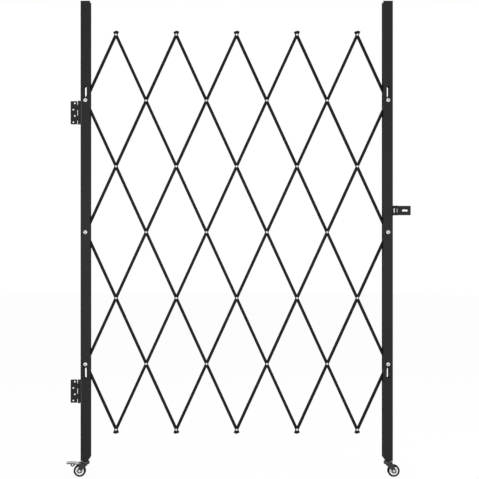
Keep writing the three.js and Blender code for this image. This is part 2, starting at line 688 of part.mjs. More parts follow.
// A caster's fork: crown with the lower race and a lip at its toe, and two legs. Way is the side that the
// wheel trails to.
function casterFork(name, way, hasBrake) {
  const outer = FORK_HALF + FORK_WALL;
  const crown = [way * -FORK_HEEL, way * FORK_TOE].sort((a, b) => a - b);
  const lip = [way * (FORK_TOE - FORK_LIP_WALL), way * FORK_TOE].sort((a, b) => a - b);
  let fork = joined(
    block(...crown, -outer, outer, FORK_TOP - FORK_WALL, FORK_TOP),
    block(...lip, -FORK_LIP_WIDTH / 2, FORK_LIP_WIDTH / 2, FORK_TOP - OVERLAP, FORK_TOP + FORK_LIP_HEIGHT),
    upright(RACE_RADIUS, FORK_TOP - OVERLAP, FORK_TOP + RACE_HEIGHT, ROUND_FACETS),
    forkLeg(way, -outer, -FORK_HALF),
    forkLeg(way, FORK_HALF, outer),
  );
  if (hasBrake) {
    const pivot = [way * PEDAL_PIVOT_LENGTH, PEDAL_PIVOT_HEIGHT];
    for (const y0 of [-outer, FORK_HALF]) {
      fork = joined(fork, crosswise(PEDAL_LUG_RADIUS, y0, y0 + FORK_WALL, PIN_FACETS, ...pivot));
    }
    const hole = PEDAL_PIN_RADIUS + RUNNING_GAP;
    fork = without(fork, crosswise(hole, -outer - CUT, outer + CUT, RIVET_FACETS, ...pivot));
  }
  const stemHole = upright(STEM_RADIUS + RUNNING_GAP, 0, CUP_TOP, ROUND_FACETS);
  const axleHole = AXLE_RADIUS + RUNNING_GAP;
  const axleBore = crosswise(axleHole, -outer - CUT, outer + CUT, PIN_FACETS, way * WHEEL_TRAIL, WHEEL_RADIUS);
  return named(name, without(fork, stemHole, axleBore), forkCoat);
}

// The swivel cup: the upper race, whose skirt covers the fork's race
function swivelCup(name) {
  const ceiling = FORK_TOP + RACE_HEIGHT + SEAT_GAP;
  const bore = STEM_RADIUS + SEAT_GAP;
  const cup = turnedUpright([
    [bore, ceiling],
    [CUP_RADIUS - CUP_WALL, ceiling],
    [CUP_RADIUS - CUP_WALL, CUP_BOTTOM],
    [CUP_RADIUS, CUP_BOTTOM],
    [CUP_RADIUS, 0.5 * (CUP_BOTTOM + CUP_TOP)],
    [CUP_NECK_RADIUS, CUP_TOP],
    [bore, CUP_TOP],
    [bore, ceiling],
  ], ROUND_FACETS);
  return named(name, cup, darkZinc);
}

// The stem: a headed pin up through the crown, the cup and the post's foot
function casterStem(name) {
  const seat = FORK_TOP - FORK_WALL - SEAT_GAP;
  const stem = turnedUpright([
    [0, seat - STEM_HEAD_HEIGHT],
    [0.75 * STEM_HEAD_RADIUS, seat - STEM_HEAD_HEIGHT],
    [STEM_HEAD_RADIUS, seat - 0.5 * STEM_HEAD_HEIGHT],
    [STEM_HEAD_RADIUS, seat],
    [STEM_RADIUS, seat],
    [STEM_RADIUS, seat + STEM_LENGTH],
    [0, seat + STEM_LENGTH],
  ], PIN_FACETS);
  return named(name, stem, brightZinc);
}

// A six-sided nut on an upright axis, from z0 up
function hexNut(name, radius, height, hole, z0) {
  const bore = upright(hole, z0 - CUT, z0 + height + CUT, PIN_FACETS);
  return named(name, without(upright(radius, z0, z0 + height, HEX), bore), brightZinc);
}

// The axle bolt: domed head in front, shank through both legs, thread end behind
function axleBolt(name) {
  const face = FORK_HALF + FORK_WALL + SEAT_GAP;
  const bolt = turnedCrosswise([
    [0, -face - AXLE_HEAD_HEIGHT],
    [0.6 * AXLE_HEAD_RADIUS, -face - 0.85 * AXLE_HEAD_HEIGHT],
    [AXLE_HEAD_RADIUS, -face - 0.3 * AXLE_HEAD_HEIGHT],
    [AXLE_HEAD_RADIUS, -face],
    [AXLE_RADIUS, -face],
    [AXLE_RADIUS, face + AXLE_NUT_HEIGHT + AXLE_THREAD_END],
    [0, face + AXLE_NUT_HEIGHT + AXLE_THREAD_END],
  ], PIN_FACETS);
  return named(name, bolt, brightZinc);
}

function axleNut(name) {
  const face = FORK_HALF + FORK_WALL + SEAT_GAP;
  const nut = hexNut(name, AXLE_NUT_RADIUS, AXLE_NUT_HEIGHT, AXLE_RADIUS + SEAT_GAP, face);
  nut.rotation.x = -Math.PI / 2;
  return nut;
}

// A plain bush between the axle and the hub, long enough to hold the wheel between the legs
function wheelBush(name) {
  const half = FORK_HALF - RUNNING_GAP;
  const inner = AXLE_RADIUS + RUNNING_GAP;
  const outer = inner + BUSH_WALL;
  const bush = turnedCrosswise([
    [inner, -half],
    [outer, -half],
    [outer, half],
    [inner, half],
    [inner, -half],
  ], PIN_FACETS);
  return named(name, bush, bushBronze);
}

// A spool-shaped hub: boss, thin web and rim
function wheelHub(name) {
  const half = HUB_WIDTH / 2;
  const web = HUB_WEB / 2;
  const bore = AXLE_RADIUS + BUSH_WALL + 2 * RUNNING_GAP;
  const outer = WHEEL_RADIUS - TYRE_WALL - SEAT_GAP;
  const rim = outer - HUB_RIM;
  const hub = turnedCrosswise([
    [bore, -half],
    [HUB_BOSS_RADIUS, -half],
    [HUB_BOSS_RADIUS, -web],
    [rim, -web],
    [rim, -half],
    [outer, -half],
    [outer, half],
    [rim, half],
    [rim, web],
    [HUB_BOSS_RADIUS, web],
    [HUB_BOSS_RADIUS, half],
    [bore, half],
    [bore, -half],
  ], HUB_FACETS);
  return named(name, hub, hubPlastic);
}

function wheelTyre(name) {
  const half = TYRE_WIDTH / 2;
  const inner = WHEEL_RADIUS - TYRE_WALL;
  const tyre = turnedCrosswise([
    [inner, -half],
    [WHEEL_RADIUS - TYRE_ROUND, -half],
    [WHEEL_RADIUS, TYRE_ROUND - half],
    [WHEEL_RADIUS, half - TYRE_ROUND],
    [WHEEL_RADIUS - TYRE_ROUND, half],
    [inner, half],
    [inner, -half],
  ], WHEEL_FACETS);
  return named(name, tyre, tyreRubber);
}

// The foot pedal: a pressed sheet with two pivot ears, two side loops, a toe lip and a brake shoe.
// It is made for a wheel that trails to the right and turned round for the left caster.
function brakePedal(name) {
  const half = PEDAL_WIDTH / 2;
  const under = PEDAL_HEIGHT - PEDAL_SHEET;
  const ear = FORK_HALF + FORK_WALL + RUNNING_GAP;
  const neck = ear + PEDAL_SHEET;
  const start = PEDAL_PIVOT_LENGTH + PEDAL_LUG_RADIUS + SWING_GAP;
  const sheet = polygon([
    [start, -neck],
    [PEDAL_NECK_END, -neck],
    [PEDAL_NECK_END + PEDAL_FLARE, -half],
    [PEDAL_REACH - PEDAL_FLARE, -half],
    [PEDAL_REACH, PEDAL_FLARE - half],
    [PEDAL_REACH, half - PEDAL_FLARE],
    [PEDAL_REACH - PEDAL_FLARE, half],
    [PEDAL_NECK_END + PEDAL_FLARE, half],
    [PEDAL_NECK_END, neck],
    [start, neck],
  ]);
  const toe = PEDAL_REACH - PEDAL_SHEET;
  const shoe = [-SHOE_WIDTH / 2, SHOE_WIDTH / 2];
  let pedal = joined(
    raised(sheet, under, PEDAL_HEIGHT),
    block(toe, PEDAL_REACH, PEDAL_FLARE - half, half - PEDAL_FLARE, under - PEDAL_TOE_DROP, under + OVERLAP),
    block(SHOE_LENGTH, SHOE_LENGTH + PEDAL_SHEET, ...shoe, SHOE_BOTTOM, under + OVERLAP),
  );
  for (const y0 of [-neck, ear]) {
    const y1 = y0 + PEDAL_SHEET;
    pedal = joined(
      pedal,
      crosswise(PEDAL_LUG_RADIUS, y0, y1, PIN_FACETS, PEDAL_PIVOT_LENGTH, PEDAL_PIVOT_HEIGHT),
      block(PEDAL_PIVOT_LENGTH, PEDAL_NECK_END, y0, y1, PEDAL_PIVOT_HEIGHT - PEDAL_SHEET, under + OVERLAP),
    );
  }
  for (const y0 of [-half, half - PEDAL_SHEET]) {
    const y1 = y0 + PEDAL_SHEET;
    const loop = without(
      crosswise(LOOP_RADIUS, y0, y1, ROUND_FACETS, LOOP_LENGTH, LOOP_HEIGHT),
      crosswise(LOOP_HOLE_RADIUS, y0 - CUT, y1 + CUT, PIN_FACETS, LOOP_LENGTH, LOOP_HEIGHT),
      block(0, PEDAL_REACH, y0 - CUT, y1 + CUT, under + OVERLAP, under + 2 * LOOP_RADIUS),
    );
    pedal = joined(pedal, loop);
  }
  const hole = PEDAL_PIN_RADIUS + RUNNING_GAP;
  const bore = crosswise(hole, -half, half, RIVET_FACETS, PEDAL_PIVOT_LENGTH, PEDAL_PIVOT_HEIGHT);
  const mesh = named(name, without(pedal, bore), brightZinc);
  mesh.rotation.z = Math.PI;
  return mesh;
}

function brakePivotPin(name) {
  const half = FORK_HALF + FORK_WALL + RUNNING_GAP + PEDAL_SHEET + SEAT_GAP;
  const head = PEDAL_PIN_HEAD_HEIGHT;
  const pin = turnedCrosswise([
    [0, -half - head],
    [PEDAL_PIN_HEAD_RADIUS, -half - 0.5 * head],
    [PEDAL_PIN_HEAD_RADIUS, -half],
    [PEDAL_PIN_RADIUS, -half],
    [PEDAL_PIN_RADIUS, half],
    [PEDAL_PIN_HEAD_RADIUS, half],
    [PEDAL_PIN_HEAD_RADIUS, half + 0.5 * head],
    [0, half + head],
  ], RIVET_FACETS);
  return named(name, pin, darkZinc);
}

// A whole caster under its post, on its own swivel axis
function caster(side, way) {
  const group = new THREE.Group();
  const wheel = new THREE.Group();
  wheel.add(
    axleBolt(`${side}_axle_bolt`),
    axleNut(`${side}_axle_nut`),
    wheelBush(`${side}_wheel_bush`),
    wheelHub(`${side}_wheel_hub`),
    wheelTyre(`${side}_tyre`),
  );
  wheel.position.set(way * WHEEL_TRAIL, 0, WHEEL_RADIUS);
  const nutSeat = POST_BASE + FOOT_WALL + SEAT_GAP;
  group.add(
    casterFork(`${side}_caster_fork`, way, side === 'left'),
    swivelCup(`${side}_swivel_cup`),
    casterStem(`${side}_caster_stem`),
    hexNut(`${side}_stem_nut`, STEM_NUT_RADIUS, STEM_NUT_HEIGHT, STEM_RADIUS + SEAT_GAP, nutSeat),
    wheel,
  );
  if (side === 'left') {
    const pin = brakePivotPin('brake_pivot_pin');
    pin.position.set(way * PEDAL_PIVOT_LENGTH, 0, PEDAL_PIVOT_HEIGHT);
    group.add(brakePedal('brake_pedal'), pin);
  }
  return group;
}

function leftSide() {
  const group = new THREE.Group();
  const rivets = [LOWER_HINGE_HEIGHT, UPPER_HINGE_HEIGHT].flatMap((height) => [
    height - POST_LEAF_RIVET_SPACING / 2,
    height + POST_LEAF_RIVET_SPACING / 2,
  ]);
  const post = new THREE.Group();
  const lowerHinge = hinge('lower');
  const upperHinge = hinge('upper');
  lowerHinge.position.z = LOWER_HINGE_HEIGHT;
  upperHinge.position.z = UPPER_HINGE_HEIGHT;
  post.add(postChannel('left_post', rivets, HINGE_RIVET_Y), postFoot('left_post_foot'), ...postPins('left'));
  post.add(lowerHinge, upperHinge);
  post.position.z = POST_BASE;
  group.add(post, caster('left', -1));
  group.position.x = -GATE_HALF;
  return group;
}

function rightSide() {
  const group = new THREE.Group();
  const rivets = [HASP_HEIGHT - HASP_RIVET_SPACING / 2, HASP_HEIGHT + HASP_RIVET_SPACING / 2];
  const channel = new THREE.Group();
  channel.add(postChannel('right_post', rivets, -HASP_RIVET_Y), postFoot('right_post_foot'));
  channel.rotation.z = Math.PI;
  const post = new THREE.Group();
  const haspSet = hasp();
  haspSet.position.z = HASP_HEIGHT;
  post.add(channel, haspSet, ...postPins('right'));
  post.position.z = POST_BASE;
  group.add(post, caster('right', 1));
  group.position.x = GATE_HALF;
  return group;
}

// The whole gate, set down with the middle of its footprint at the origin
const gate = new THREE.Group();
gate.add(leftSide(), rightSide(), lattice());
const bounds = new THREE.Box3().setFromObject(gate);
const middle = bounds.getCenter(new THREE.Vector3());
gate.position.set(-middle.x, -middle.y, -bounds.min.z);

const part = new THREE.Group();
part.add(gate);
export default part;
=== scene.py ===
import math

import bmesh
import bpy
from mathutils import Matrix, Vector


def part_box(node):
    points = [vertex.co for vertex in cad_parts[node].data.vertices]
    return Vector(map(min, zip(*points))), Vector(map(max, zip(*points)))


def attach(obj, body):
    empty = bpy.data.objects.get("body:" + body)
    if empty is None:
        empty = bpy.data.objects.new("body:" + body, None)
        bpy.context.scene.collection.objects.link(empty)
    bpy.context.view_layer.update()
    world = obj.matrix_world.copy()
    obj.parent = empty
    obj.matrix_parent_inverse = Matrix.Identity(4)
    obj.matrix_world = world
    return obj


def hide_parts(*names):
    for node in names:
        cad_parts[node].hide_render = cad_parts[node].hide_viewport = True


bl_info = {
    "name": "Folding gate looks",
    "version": (1, 0, 0),
    "blender": (4, 5, 0),
    "location": "3D View > Sidebar > Gate",
    "description": "Dresses a folding scissor gate in its finishes and its fine hardware",
    "category": "Add Mesh",
}

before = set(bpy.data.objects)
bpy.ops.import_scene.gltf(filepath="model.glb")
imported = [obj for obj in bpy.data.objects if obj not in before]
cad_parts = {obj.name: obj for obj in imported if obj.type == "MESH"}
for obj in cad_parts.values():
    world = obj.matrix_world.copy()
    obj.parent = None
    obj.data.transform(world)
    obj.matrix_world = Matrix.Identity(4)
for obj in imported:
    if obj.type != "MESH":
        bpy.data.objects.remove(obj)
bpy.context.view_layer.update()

# Places that come from the frame, in millimetres
MM = 0.001


def box(node):
    low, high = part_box(node)
    return low / MM, high / MM


def middle(node):
    low, high = box(node)
    return (low + high) / 2


LEFT_PIN = middle("left_middle_pin")
RIGHT_PIN = middle("right_middle_pin")
POST_LOW, POST_HIGH = box("left_post")
GATE_HALF = (RIGHT_PIN.x - LEFT_PIN.x) / 2
POST_HALF = (POST_HIGH.x - POST_LOW.x) / 2
POST_FRONT = (POST_LOW.y - POST_HIGH.y) / 2
MIDDLE_HEIGHT = LEFT_PIN.z
GATE = Matrix.Scale(MM, 4) @ Matrix.Translation(
    ((LEFT_PIN.x + RIGHT_PIN.x) / 2, (POST_LOW.y + POST_HIGH.y) / 2, 0)
)

# Lattice, in millimetres like every size below
COLUMNS = 10
ROWS = 6
COLUMN_PITCH = 2 * GATE_HALF / COLUMNS
RIVET_PITCH = 300
REST_ANGLE = math.asin(COLUMN_PITCH / RIVET_PITCH)
ROW_PITCH = RIVET_PITCH * math.cos(REST_ANGLE)
BAR_WIDTH = 12.4
BAR_DEPTH = 6
BAR_WALL = 1.3
BAR_CORNER = 1.2
BAR_INSIDE_CORNER = 0.5
BAR_END = 16.5
SEAT_GAP = 0.3
BAR_FRONT = -BAR_DEPTH - SEAT_GAP / 2
RIVET_TAIL = SEAT_GAP / 2 + BAR_WALL

# Radii of a post pin
PIN_SHANK = 5
PIN_SLEEVE = 6.5
PIN_NECK = 3.2
PIN_TAIL = 7.1

# Posts, hinges and hasp, from their pin lines
POST_WALL = 1.8
FLANGE_FACE = SEAT_GAP - POST_FRONT
FLANGE_INSIDE = -POST_FRONT - POST_WALL
SHEET = 2
PLATE_RIVET = 4.6
HINGE_HEIGHTS = (middle("lower_wall_leaf").z, middle("upper_wall_leaf").z)
HINGE_HALF = 48
HINGE_EDGES = (-HINGE_HALF, -32.5, -10.83, 10.83, 32.5, HINGE_HALF)
HINGE_WEB = -POST_HALF - SEAT_GAP - SHEET
HINGE_AXIS = (HINGE_WEB - 4.5, POST_FRONT)
WALL_KNUCKLE = 4.35
POST_KNUCKLE = 3.95
HINGE_BORE = 2.5
RETURN_FACE = POST_FRONT - SEAT_GAP - SHEET
WALL_LEAF = (HINGE_AXIS[0] - 34.3, HINGE_AXIS[0] - 6.6)
WALL_LEAF_DEPTH = (-15.7, -13.2)
WALL_HOLES = 4
WALL_HOLE = 3.3
WALL_HOLE_PITCH = 26
WALL_HOLE_STAGGER = 6.2
WALL_HOLE_LINE = WALL_LEAF[0] + 14.2
POST_LEAF_LEG = 24
POST_LEAF_RETURN = 6.4
# Width of the grey strip along each post leaf's edge that paints the highlight there
HIGHLIGHT_EDGE_WIDTH = 1
HINGE_RIVETS = (-24, 24)
PLATE_RIVET_EDGE = 15
HASP_HEIGHT = middle("hasp_leaf").z
HASP_AXIS = (POST_HALF + 14, POST_FRONT - 3)
HASP_BARREL = 6.5
HASP_BORE = 4.3
HASP_LEAF_END = POST_HALF + 73
HASP_LEAF_HALF = 19.5
HASP_NECK_HALF = 8.5
HASP_WINDOW_HALF = 8.8
HASP_WINDOW_EDGE = POST_HALF + 3.1
HASP_BASE_HALF = 20.5
HASP_BASE_LEG = 27
HASP_RIVETS = (-12, 12)
HASP_SLOT = (HASP_LEAF_END - 36, HASP_LEAF_END - 12.5)
HASP_SLOT_HALF = 4
HASP_LAP = 8.1
HASP_LAP_HALF = 1.5
# Arc of the hasp's knuckle, from its front to its right, that a grey shell covers to paint its highlight
HIGHLIGHT_ARC = (math.radians(-108), math.radians(-50))

# Casters: places are outward from the swivel axis and up from the floor
WHEEL = (25, 25)
WHEEL_RADIUS = 25
TYRE_HALF = 9.5
TYRE_SEAT = 17.8
HUB_RADIUS = 17.5
HUB_HALF = 8.5
HUB_BORE = 5.5
AXLE_RADIUS = 4
AXLE_HEAD = 5.5
BUSH_RADIUS = 5.2
BUSH_BORE = 4.3
CUP_RIM = 58.1
STEM_RADIUS = 5
STEM_SEAT = 52.7
FORK_INSIDE = 11
FORK_OUTSIDE = 13
FORK_TOP = 55
FORK_BAND_END = 48
FORK_SIDE_TOP = 52.5
FORK_TOE = 20.5
FORK_HEEL = 14
FORK_SHOULDER = 8
FORK_END = 10.1
FORK_KNEE = (24.5, 45.8, 3)
FORK_NOTCH = ((-12.5, 7.5), (-19.5, 10.5))
FORK_LIP_HALF = 9
FORK_LIP_HEIGHT = 6.5
NUT_RADIUS = 7
NUT_HEIGHT = 3.9

# Foot pedal, placed as the casters are; its upright sheets are given from face to face
PEDAL_PIVOT = (24, 54.5)
PEDAL_TOP = 58.5
PEDAL_START = 29
PEDAL_END = 80
PEDAL_HALF = 18.9
PEDAL_NECK = (40, 15.28)
PEDAL_FLARE = 45
PEDAL_EARS = ((-15.3, -13.3), (13.3, 15.3))
EAR_RADIUS = 4.5
TREADS = (53, 60, 67)
TREAD_HALF = 11
# Painted shade: dark rims along the pedal plate's sides, given from face to face, that paint the shade under
# its edges
PAINTED_SHADE_RIMS = ((-19.5, -18.4), (18.4, 19.5))
LOOP = (52.1, 54.2)
LOOP_RADIUS = 9.4
LOOP_SIDES = ((-19.4, -17.6), (17.6, 19.4))
LOOP_HOLE = (52.3, 52.7, 3.1)
SHOE = (33, 35)
SHOE_LOW = 51.3
SHOE_HALF = 7.5

# Ways to lay a flat shape or a turned axis: on the floor, facing the front, or facing a side
LAID = Matrix.Identity(4)
FACING = Matrix(((1, 0, 0, 0), (0, 0, 1, 0), (0, 1, 0, 0), (0, 0, 0, 1)))
SIDEWAYS = Matrix(((0, 0, 1, 0), (1, 0, 0, 0), (0, 1, 0, 0), (0, 0, 0, 1)))


def at(x, y, z, way=LAID):
    return Matrix.Translation((x, y, z)) @ way


AXLE = at(WHEEL[0], 0, WHEEL[1], FACING)


class GateSizes(bpy.types.PropertyGroup):
    rivet_head: bpy.props.FloatProperty(
        name="Rivet head", description="Radius of a lattice rivet's head", default=0.0045, unit="LENGTH"
    )
    rivet_dome: bpy.props.FloatProperty(
        name="Rivet dome", description="Height of a lattice rivet's head", default=0.0021, unit="LENGTH"
    )
    pin_head: bpy.props.FloatProperty(
        name="Post pin head", description="Radius of a post pin's head", default=0.0082, unit="LENGTH"
    )
    sheet_edge: bpy.props.FloatProperty(
        name="Sheet edge", description="Rounding of sheared sheet edges", default=0.0003, unit="LENGTH"
    )
    tyre_shoulder: bpy.props.FloatProperty(
        name="Tyre shoulder", description="Rounding of the tyre's shoulders", default=0.003, unit="LENGTH"
    )
    camera_distance: bpy.props.FloatProperty(
        name="Camera distance", description="From the lens to the lattice", default=4.1, unit="LENGTH"
    )
    view_width: bpy.props.FloatProperty(
        name="View width", description="Width of the view at the lattice", default=1.986, unit="LENGTH"
    )


class GateColours(bpy.types.PropertyGroup):
    post_coat: bpy.props.StringProperty(
        name="Post coat", description="sRGB hex colour of the posts and plates", default="#19191a"
    )
    bar_coat: bpy.props.StringProperty(
        name="Bar coat", description="sRGB hex colour of the lattice bars", default="#131314"
    )
    fork_coat: bpy.props.StringProperty(
        name="Fork coat", description="sRGB hex colour of the caster forks", default="#292929"
    )
    bright_zinc: bpy.props.StringProperty(
        name="Bright zinc", description="sRGB hex colour of rivets, pins and bolts", default="#c8c9c9"
    )
    # Painted highlight: this grey paints the highlights on the post leaves' edges and on the hasp's knuckle
    highlight_steel: bpy.props.StringProperty(
        name="Rubbed steel", description="sRGB hex colour of worn edges and knuckles", default="#656667"
    )
    pedal_zinc: bpy.props.StringProperty(
        name="Pedal zinc", description="sRGB hex colour of the pedal's worn plate", default="#a9aaab"
    )
    dark_zinc: bpy.props.StringProperty(
        name="Dark zinc", description="sRGB hex colour of cups and small pins", default="#434445"
    )
    nylon: bpy.props.StringProperty(
        name="Nylon", description="sRGB hex colour of the wheel hubs", default="#fafaf8"
    )
    rubber: bpy.props.StringProperty(
        name="Rubber", description="sRGB hex colour of the tyres", default="#080808"
    )
    bronze: bpy.props.StringProperty(
        name="Bronze", description="sRGB hex colour of the wheel bushes", default="#b08d57"
    )
    floor: bpy.props.StringProperty(
        name="Floor", description="sRGB hex colour of the floor", default="#fafafa"
    )


def sizes():
    return bpy.context.scene.gate_sizes


def colours():
    return bpy.context.scene.gate_colours


def linear(code, gain=1.0):
    """An sRGB hex colour as linear red, green, blue and alpha"""
    channels = [int(code[place : place + 2], 16) / 255 for place in (1, 3, 5)]
    straight = [c / 12.92 if c <= 0.04045 else ((c + 0.055) / 1.055) ** 2.4 for c in channels]
    return (*[min(1.0, c * gain) for c in straight], 1.0)


def add(tree, kind, settings=None, links=None):
    """Adds a node, sets its values by attribute or socket name, and links its inputs"""
    made = tree.nodes.new(kind)
    for key, value in (settings or {}).items():
        if isinstance(key, str) and hasattr(made, key):
            setattr(made, key, value)
        else:
            made.inputs[key].default_value = value
    for key, source in (links or {}).items():
        tree.links.new(source, made.inputs[key])
    return made


def new_material(name):
    material = bpy.data.materials.new(name)
    material.use_nodes = True
    material.node_tree.nodes.clear()
    return material, material.node_tree


def finish_surface(tree, settings, links):
    shader = add(tree, "ShaderNodeBsdfPrincipled", settings, links)
    add(tree, "ShaderNodeOutputMaterial", links={"Surface": shader.outputs["BSDF"]})


# Real sizes of the surface patterns, in millimetres
ORANGE_PEEL = 2.6
COAT_CLOUD = 140
COAT_SPECK = 0.9
ZINC_SPANGLE = 1.6
ZINC_CLOUD = 9
PRESS_GRAIN = 1.1
NYLON_FLOW = 6
RUBBER_GRAIN = 0.8
RUBBER_DUST = 7
BRONZE_PORE = 0.5


def per_mm(size):
    """Texture scale at which one pattern cell is that many millimetres wide"""
    return 1 / (size * MM)


def powder_coat(name, code, cloud_gain, roughness, gloss):
    """Satin polyester powder coat on steel, sprayed and baked: an even black with a soft sheen, a faint
    orange peel (drawn about twice as coarse as the real one, to show at all) and slight clouding."""
    material, tree = new_material(name)
    place = add(tree, "ShaderNodeTexCoord").outputs["Object"]
    cloud = add(tree, "ShaderNodeTexNoise", {"Scale": per_mm(COAT_CLOUD), "Detail": 3.0}, {"Vector": place})
    speck = add(tree, "ShaderNodeTexNoise", {"Scale": per_mm(COAT_SPECK), "Detail": 1.0}, {"Vector": place})
    peel = add(tree, "ShaderNodeTexNoise", {"Scale": per_mm(ORANGE_PEEL), "Detail": 2.0}, {"Vector": place})
    tone = add(
        tree,
        "ShaderNodeMix",
        {"data_type": "RGBA", 6: linear(code), 7: linear(code, cloud_gain)},
        {0: cloud.outputs["Fac"]},
    )
    sheen = add(
        tree,
        "ShaderNodeMapRange",
        {"From Min": 0.3, "From Max": 0.7, "To Min": roughness - 0.04, "To Max": roughness + 0.06},
        {"Value": speck.outputs["Fac"]},
    )
    bump = add(
        tree,
        "ShaderNodeBump",
        {"Strength": 0.16, "Distance": 0.12 * MM},
        {"Height": peel.outputs["Fac"]},
    )
    finish_surface(
        tree,
        {"IOR": 1.5, "Specular IOR Level": gloss},
        {"Base Color": tone.outputs[2], "Roughness": sheen.outputs[0], "Normal": bump.outputs[0]},
    )
    return material


def zinc_plate(name, code):
    """Electroplated zinc on cold-formed steel: a silvery metal with a fine, slightly uneven spangle that
    breaks up its highlights, bright on rivets and pins, duller on the pedal, where shoes rub it, and grey
    where it paints the highlights on the hasp's knuckle and on the post leaves' edges."""
    material, tree = new_material(name)
    place = add(tree, "ShaderNodeTexCoord").outputs["Object"]
    spangle = add(
        tree, "ShaderNodeTexVoronoi", {"Scale": per_mm(ZINC_SPANGLE), "feature": "F1"}, {"Vector": place}
    )
    cloud = add(tree, "ShaderNodeTexNoise", {"Scale": per_mm(ZINC_CLOUD), "Detail": 4.0}, {"Vector": place})
    tone = add(
        tree,
        "ShaderNodeMix",
        {"data_type": "RGBA", 6: linear(code, 0.86), 7: linear(code, 1.05)},
        {0: cloud.outputs["Fac"]},
    )
    gloss = add(
        tree,
        "ShaderNodeMapRange",
        {"From Min": 0.0, "From Max": 1.0, "To Min": 0.24, "To Max": 0.42},
        {"Value": spangle.outputs["Distance"]},
    )
    bump = add(
        tree, "ShaderNodeBump", {"Strength": 0.12, "Distance": 0.05 * MM}, {"Height": cloud.outputs["Fac"]}
    )
    finish_surface(
        tree,
        {"Metallic": 1.0},
        {"Base Color": tone.outputs[2], "Roughness": gloss.outputs[0], "Normal": bump.outputs[0]},
    )
    return material


def dark_zinc():
    """Zinc plate with a dark passivation on pressed steel: a grey metal with a satin, faintly
    mottled surface. On the pedal's side rims its grey paints the shade under the plate's edges."""
    material, tree = new_material("dark_passivated_zinc_and_painted_shade")
    code = colours().dark_zinc
    place = add(tree, "ShaderNodeTexCoord").outputs["Object"]
    mottle = add(tree, "ShaderNodeTexNoise", {"Scale": per_mm(ZINC_CLOUD), "Detail": 5.0}, {"Vector": place})
    grain = add(tree, "ShaderNodeTexNoise", {"Scale": per_mm(PRESS_GRAIN), "Detail": 2.0}, {"Vector": place})
    tone = add(
        tree,
        "ShaderNodeMix",
        {"data_type": "RGBA", 6: linear(code, 0.7), 7: linear(code, 1.15)},
        {0: mottle.outputs["Fac"]},
    )
    bump = add(
        tree, "ShaderNodeBump", {"Strength": 0.15, "Distance": 0.06 * MM}, {"Height": grain.outputs["Fac"]}
    )
    finish_surface(
        tree,
        {"Metallic": 0.9, "Roughness": 0.42},
        {"Base Color": tone.outputs[2], "Normal": bump.outputs[0]},
    )
    return material


def nylon():
    """Moulded white nylon of the wheel hubs: a soft, slightly warm white with a low sheen and the
    faint cloudiness of thick moulded walls."""
    material, tree = new_material("moulded_white_nylon")
    code = colours().nylon
    place = add(tree, "ShaderNodeTexCoord").outputs["Object"]
    flow = add(tree, "ShaderNodeTexNoise", {"Scale": per_mm(NYLON_FLOW), "Detail": 3.0}, {"Vector": place})
    tone = add(
        tree,
        "ShaderNodeMix",
        {"data_type": "RGBA", 6: linear(code, 0.92), 7: linear(code)},
        {0: flow.outputs["Fac"]},
    )
    bump = add(
        tree, "ShaderNodeBump", {"Strength": 0.1, "Distance": 0.05 * MM}, {"Height": flow.outputs["Fac"]}
    )
    finish_surface(
        tree,
        {"IOR": 1.53, "Roughness": 0.42},
        {"Base Color": tone.outputs[2], "Normal": bump.outputs[0]},
    )
    return material


def rubber():
    """Moulded black rubber of the tyres: matt and dark, with a fine mould grain and a trace of grey
    dust that lifts the black in patches."""
    material, tree = new_material("moulded_black_rubber")
    code = colours().rubber
    place = add(tree, "ShaderNodeTexCoord").outputs["Object"]
    dust = add(tree, "ShaderNodeTexNoise", {"Scale": per_mm(RUBBER_DUST), "Detail": 6.0}, {"Vector": place})
    grain = add(tree, "ShaderNodeTexNoise", {"Scale": per_mm(RUBBER_GRAIN), "Detail": 2.0}, {"Vector": place})
    amount = add(
        tree,
        "ShaderNodeMapRange",
        {"From Min": 0.45, "From Max": 0.8, "To Min": 0.0, "To Max": 1.0},
        {"Value": dust.outputs["Fac"]},
    )
    tone = add(
        tree,
        "ShaderNodeMix",
        {"data_type": "RGBA", 6: linear(code), 7: linear(code, 2.2)},
        {0: amount.outputs[0]},
    )
    bump = add(
        tree, "ShaderNodeBump", {"Strength": 0.25, "Distance": 0.08 * MM}, {"Height": grain.outputs["Fac"]}
    )
    finish_surface(
        tree,
        {"IOR": 1.52, "Roughness": 0.72, "Specular IOR Level": 0.06},
        {"Base Color": tone.outputs[2], "Normal": bump.outputs[0]},
    )
    return material


def sintered_bronze():
    """Sintered, oil-soaked bronze of the wheel bushes: a dull brown-gold metal with fine pores."""
    material, tree = new_material("sintered_bronze")
    code = colours().bronze
    place = add(tree, "ShaderNodeTexCoord").outputs["Object"]
    pores = add(tree, "ShaderNodeTexNoise", {"Scale": per_mm(BRONZE_PORE), "Detail": 2.0}, {"Vector": place})
    tone = add(
        tree,
        "ShaderNodeMix",
        {"data_type": "RGBA", 6: linear(code, 0.75), 7: linear(code)},
        {0: pores.outputs["Fac"]},
    )
    bump = add(
        tree, "ShaderNodeBump", {"Strength": 0.2, "Distance": 0.05 * MM}, {"Height": pores.outputs["Fac"]}
    )
    finish_surface(
        tree,
        {"Metallic": 1.0, "Roughness": 0.45},
        {"Base Color": tone.outputs[2], "Normal": bump.outputs[0]},
    )
    return material


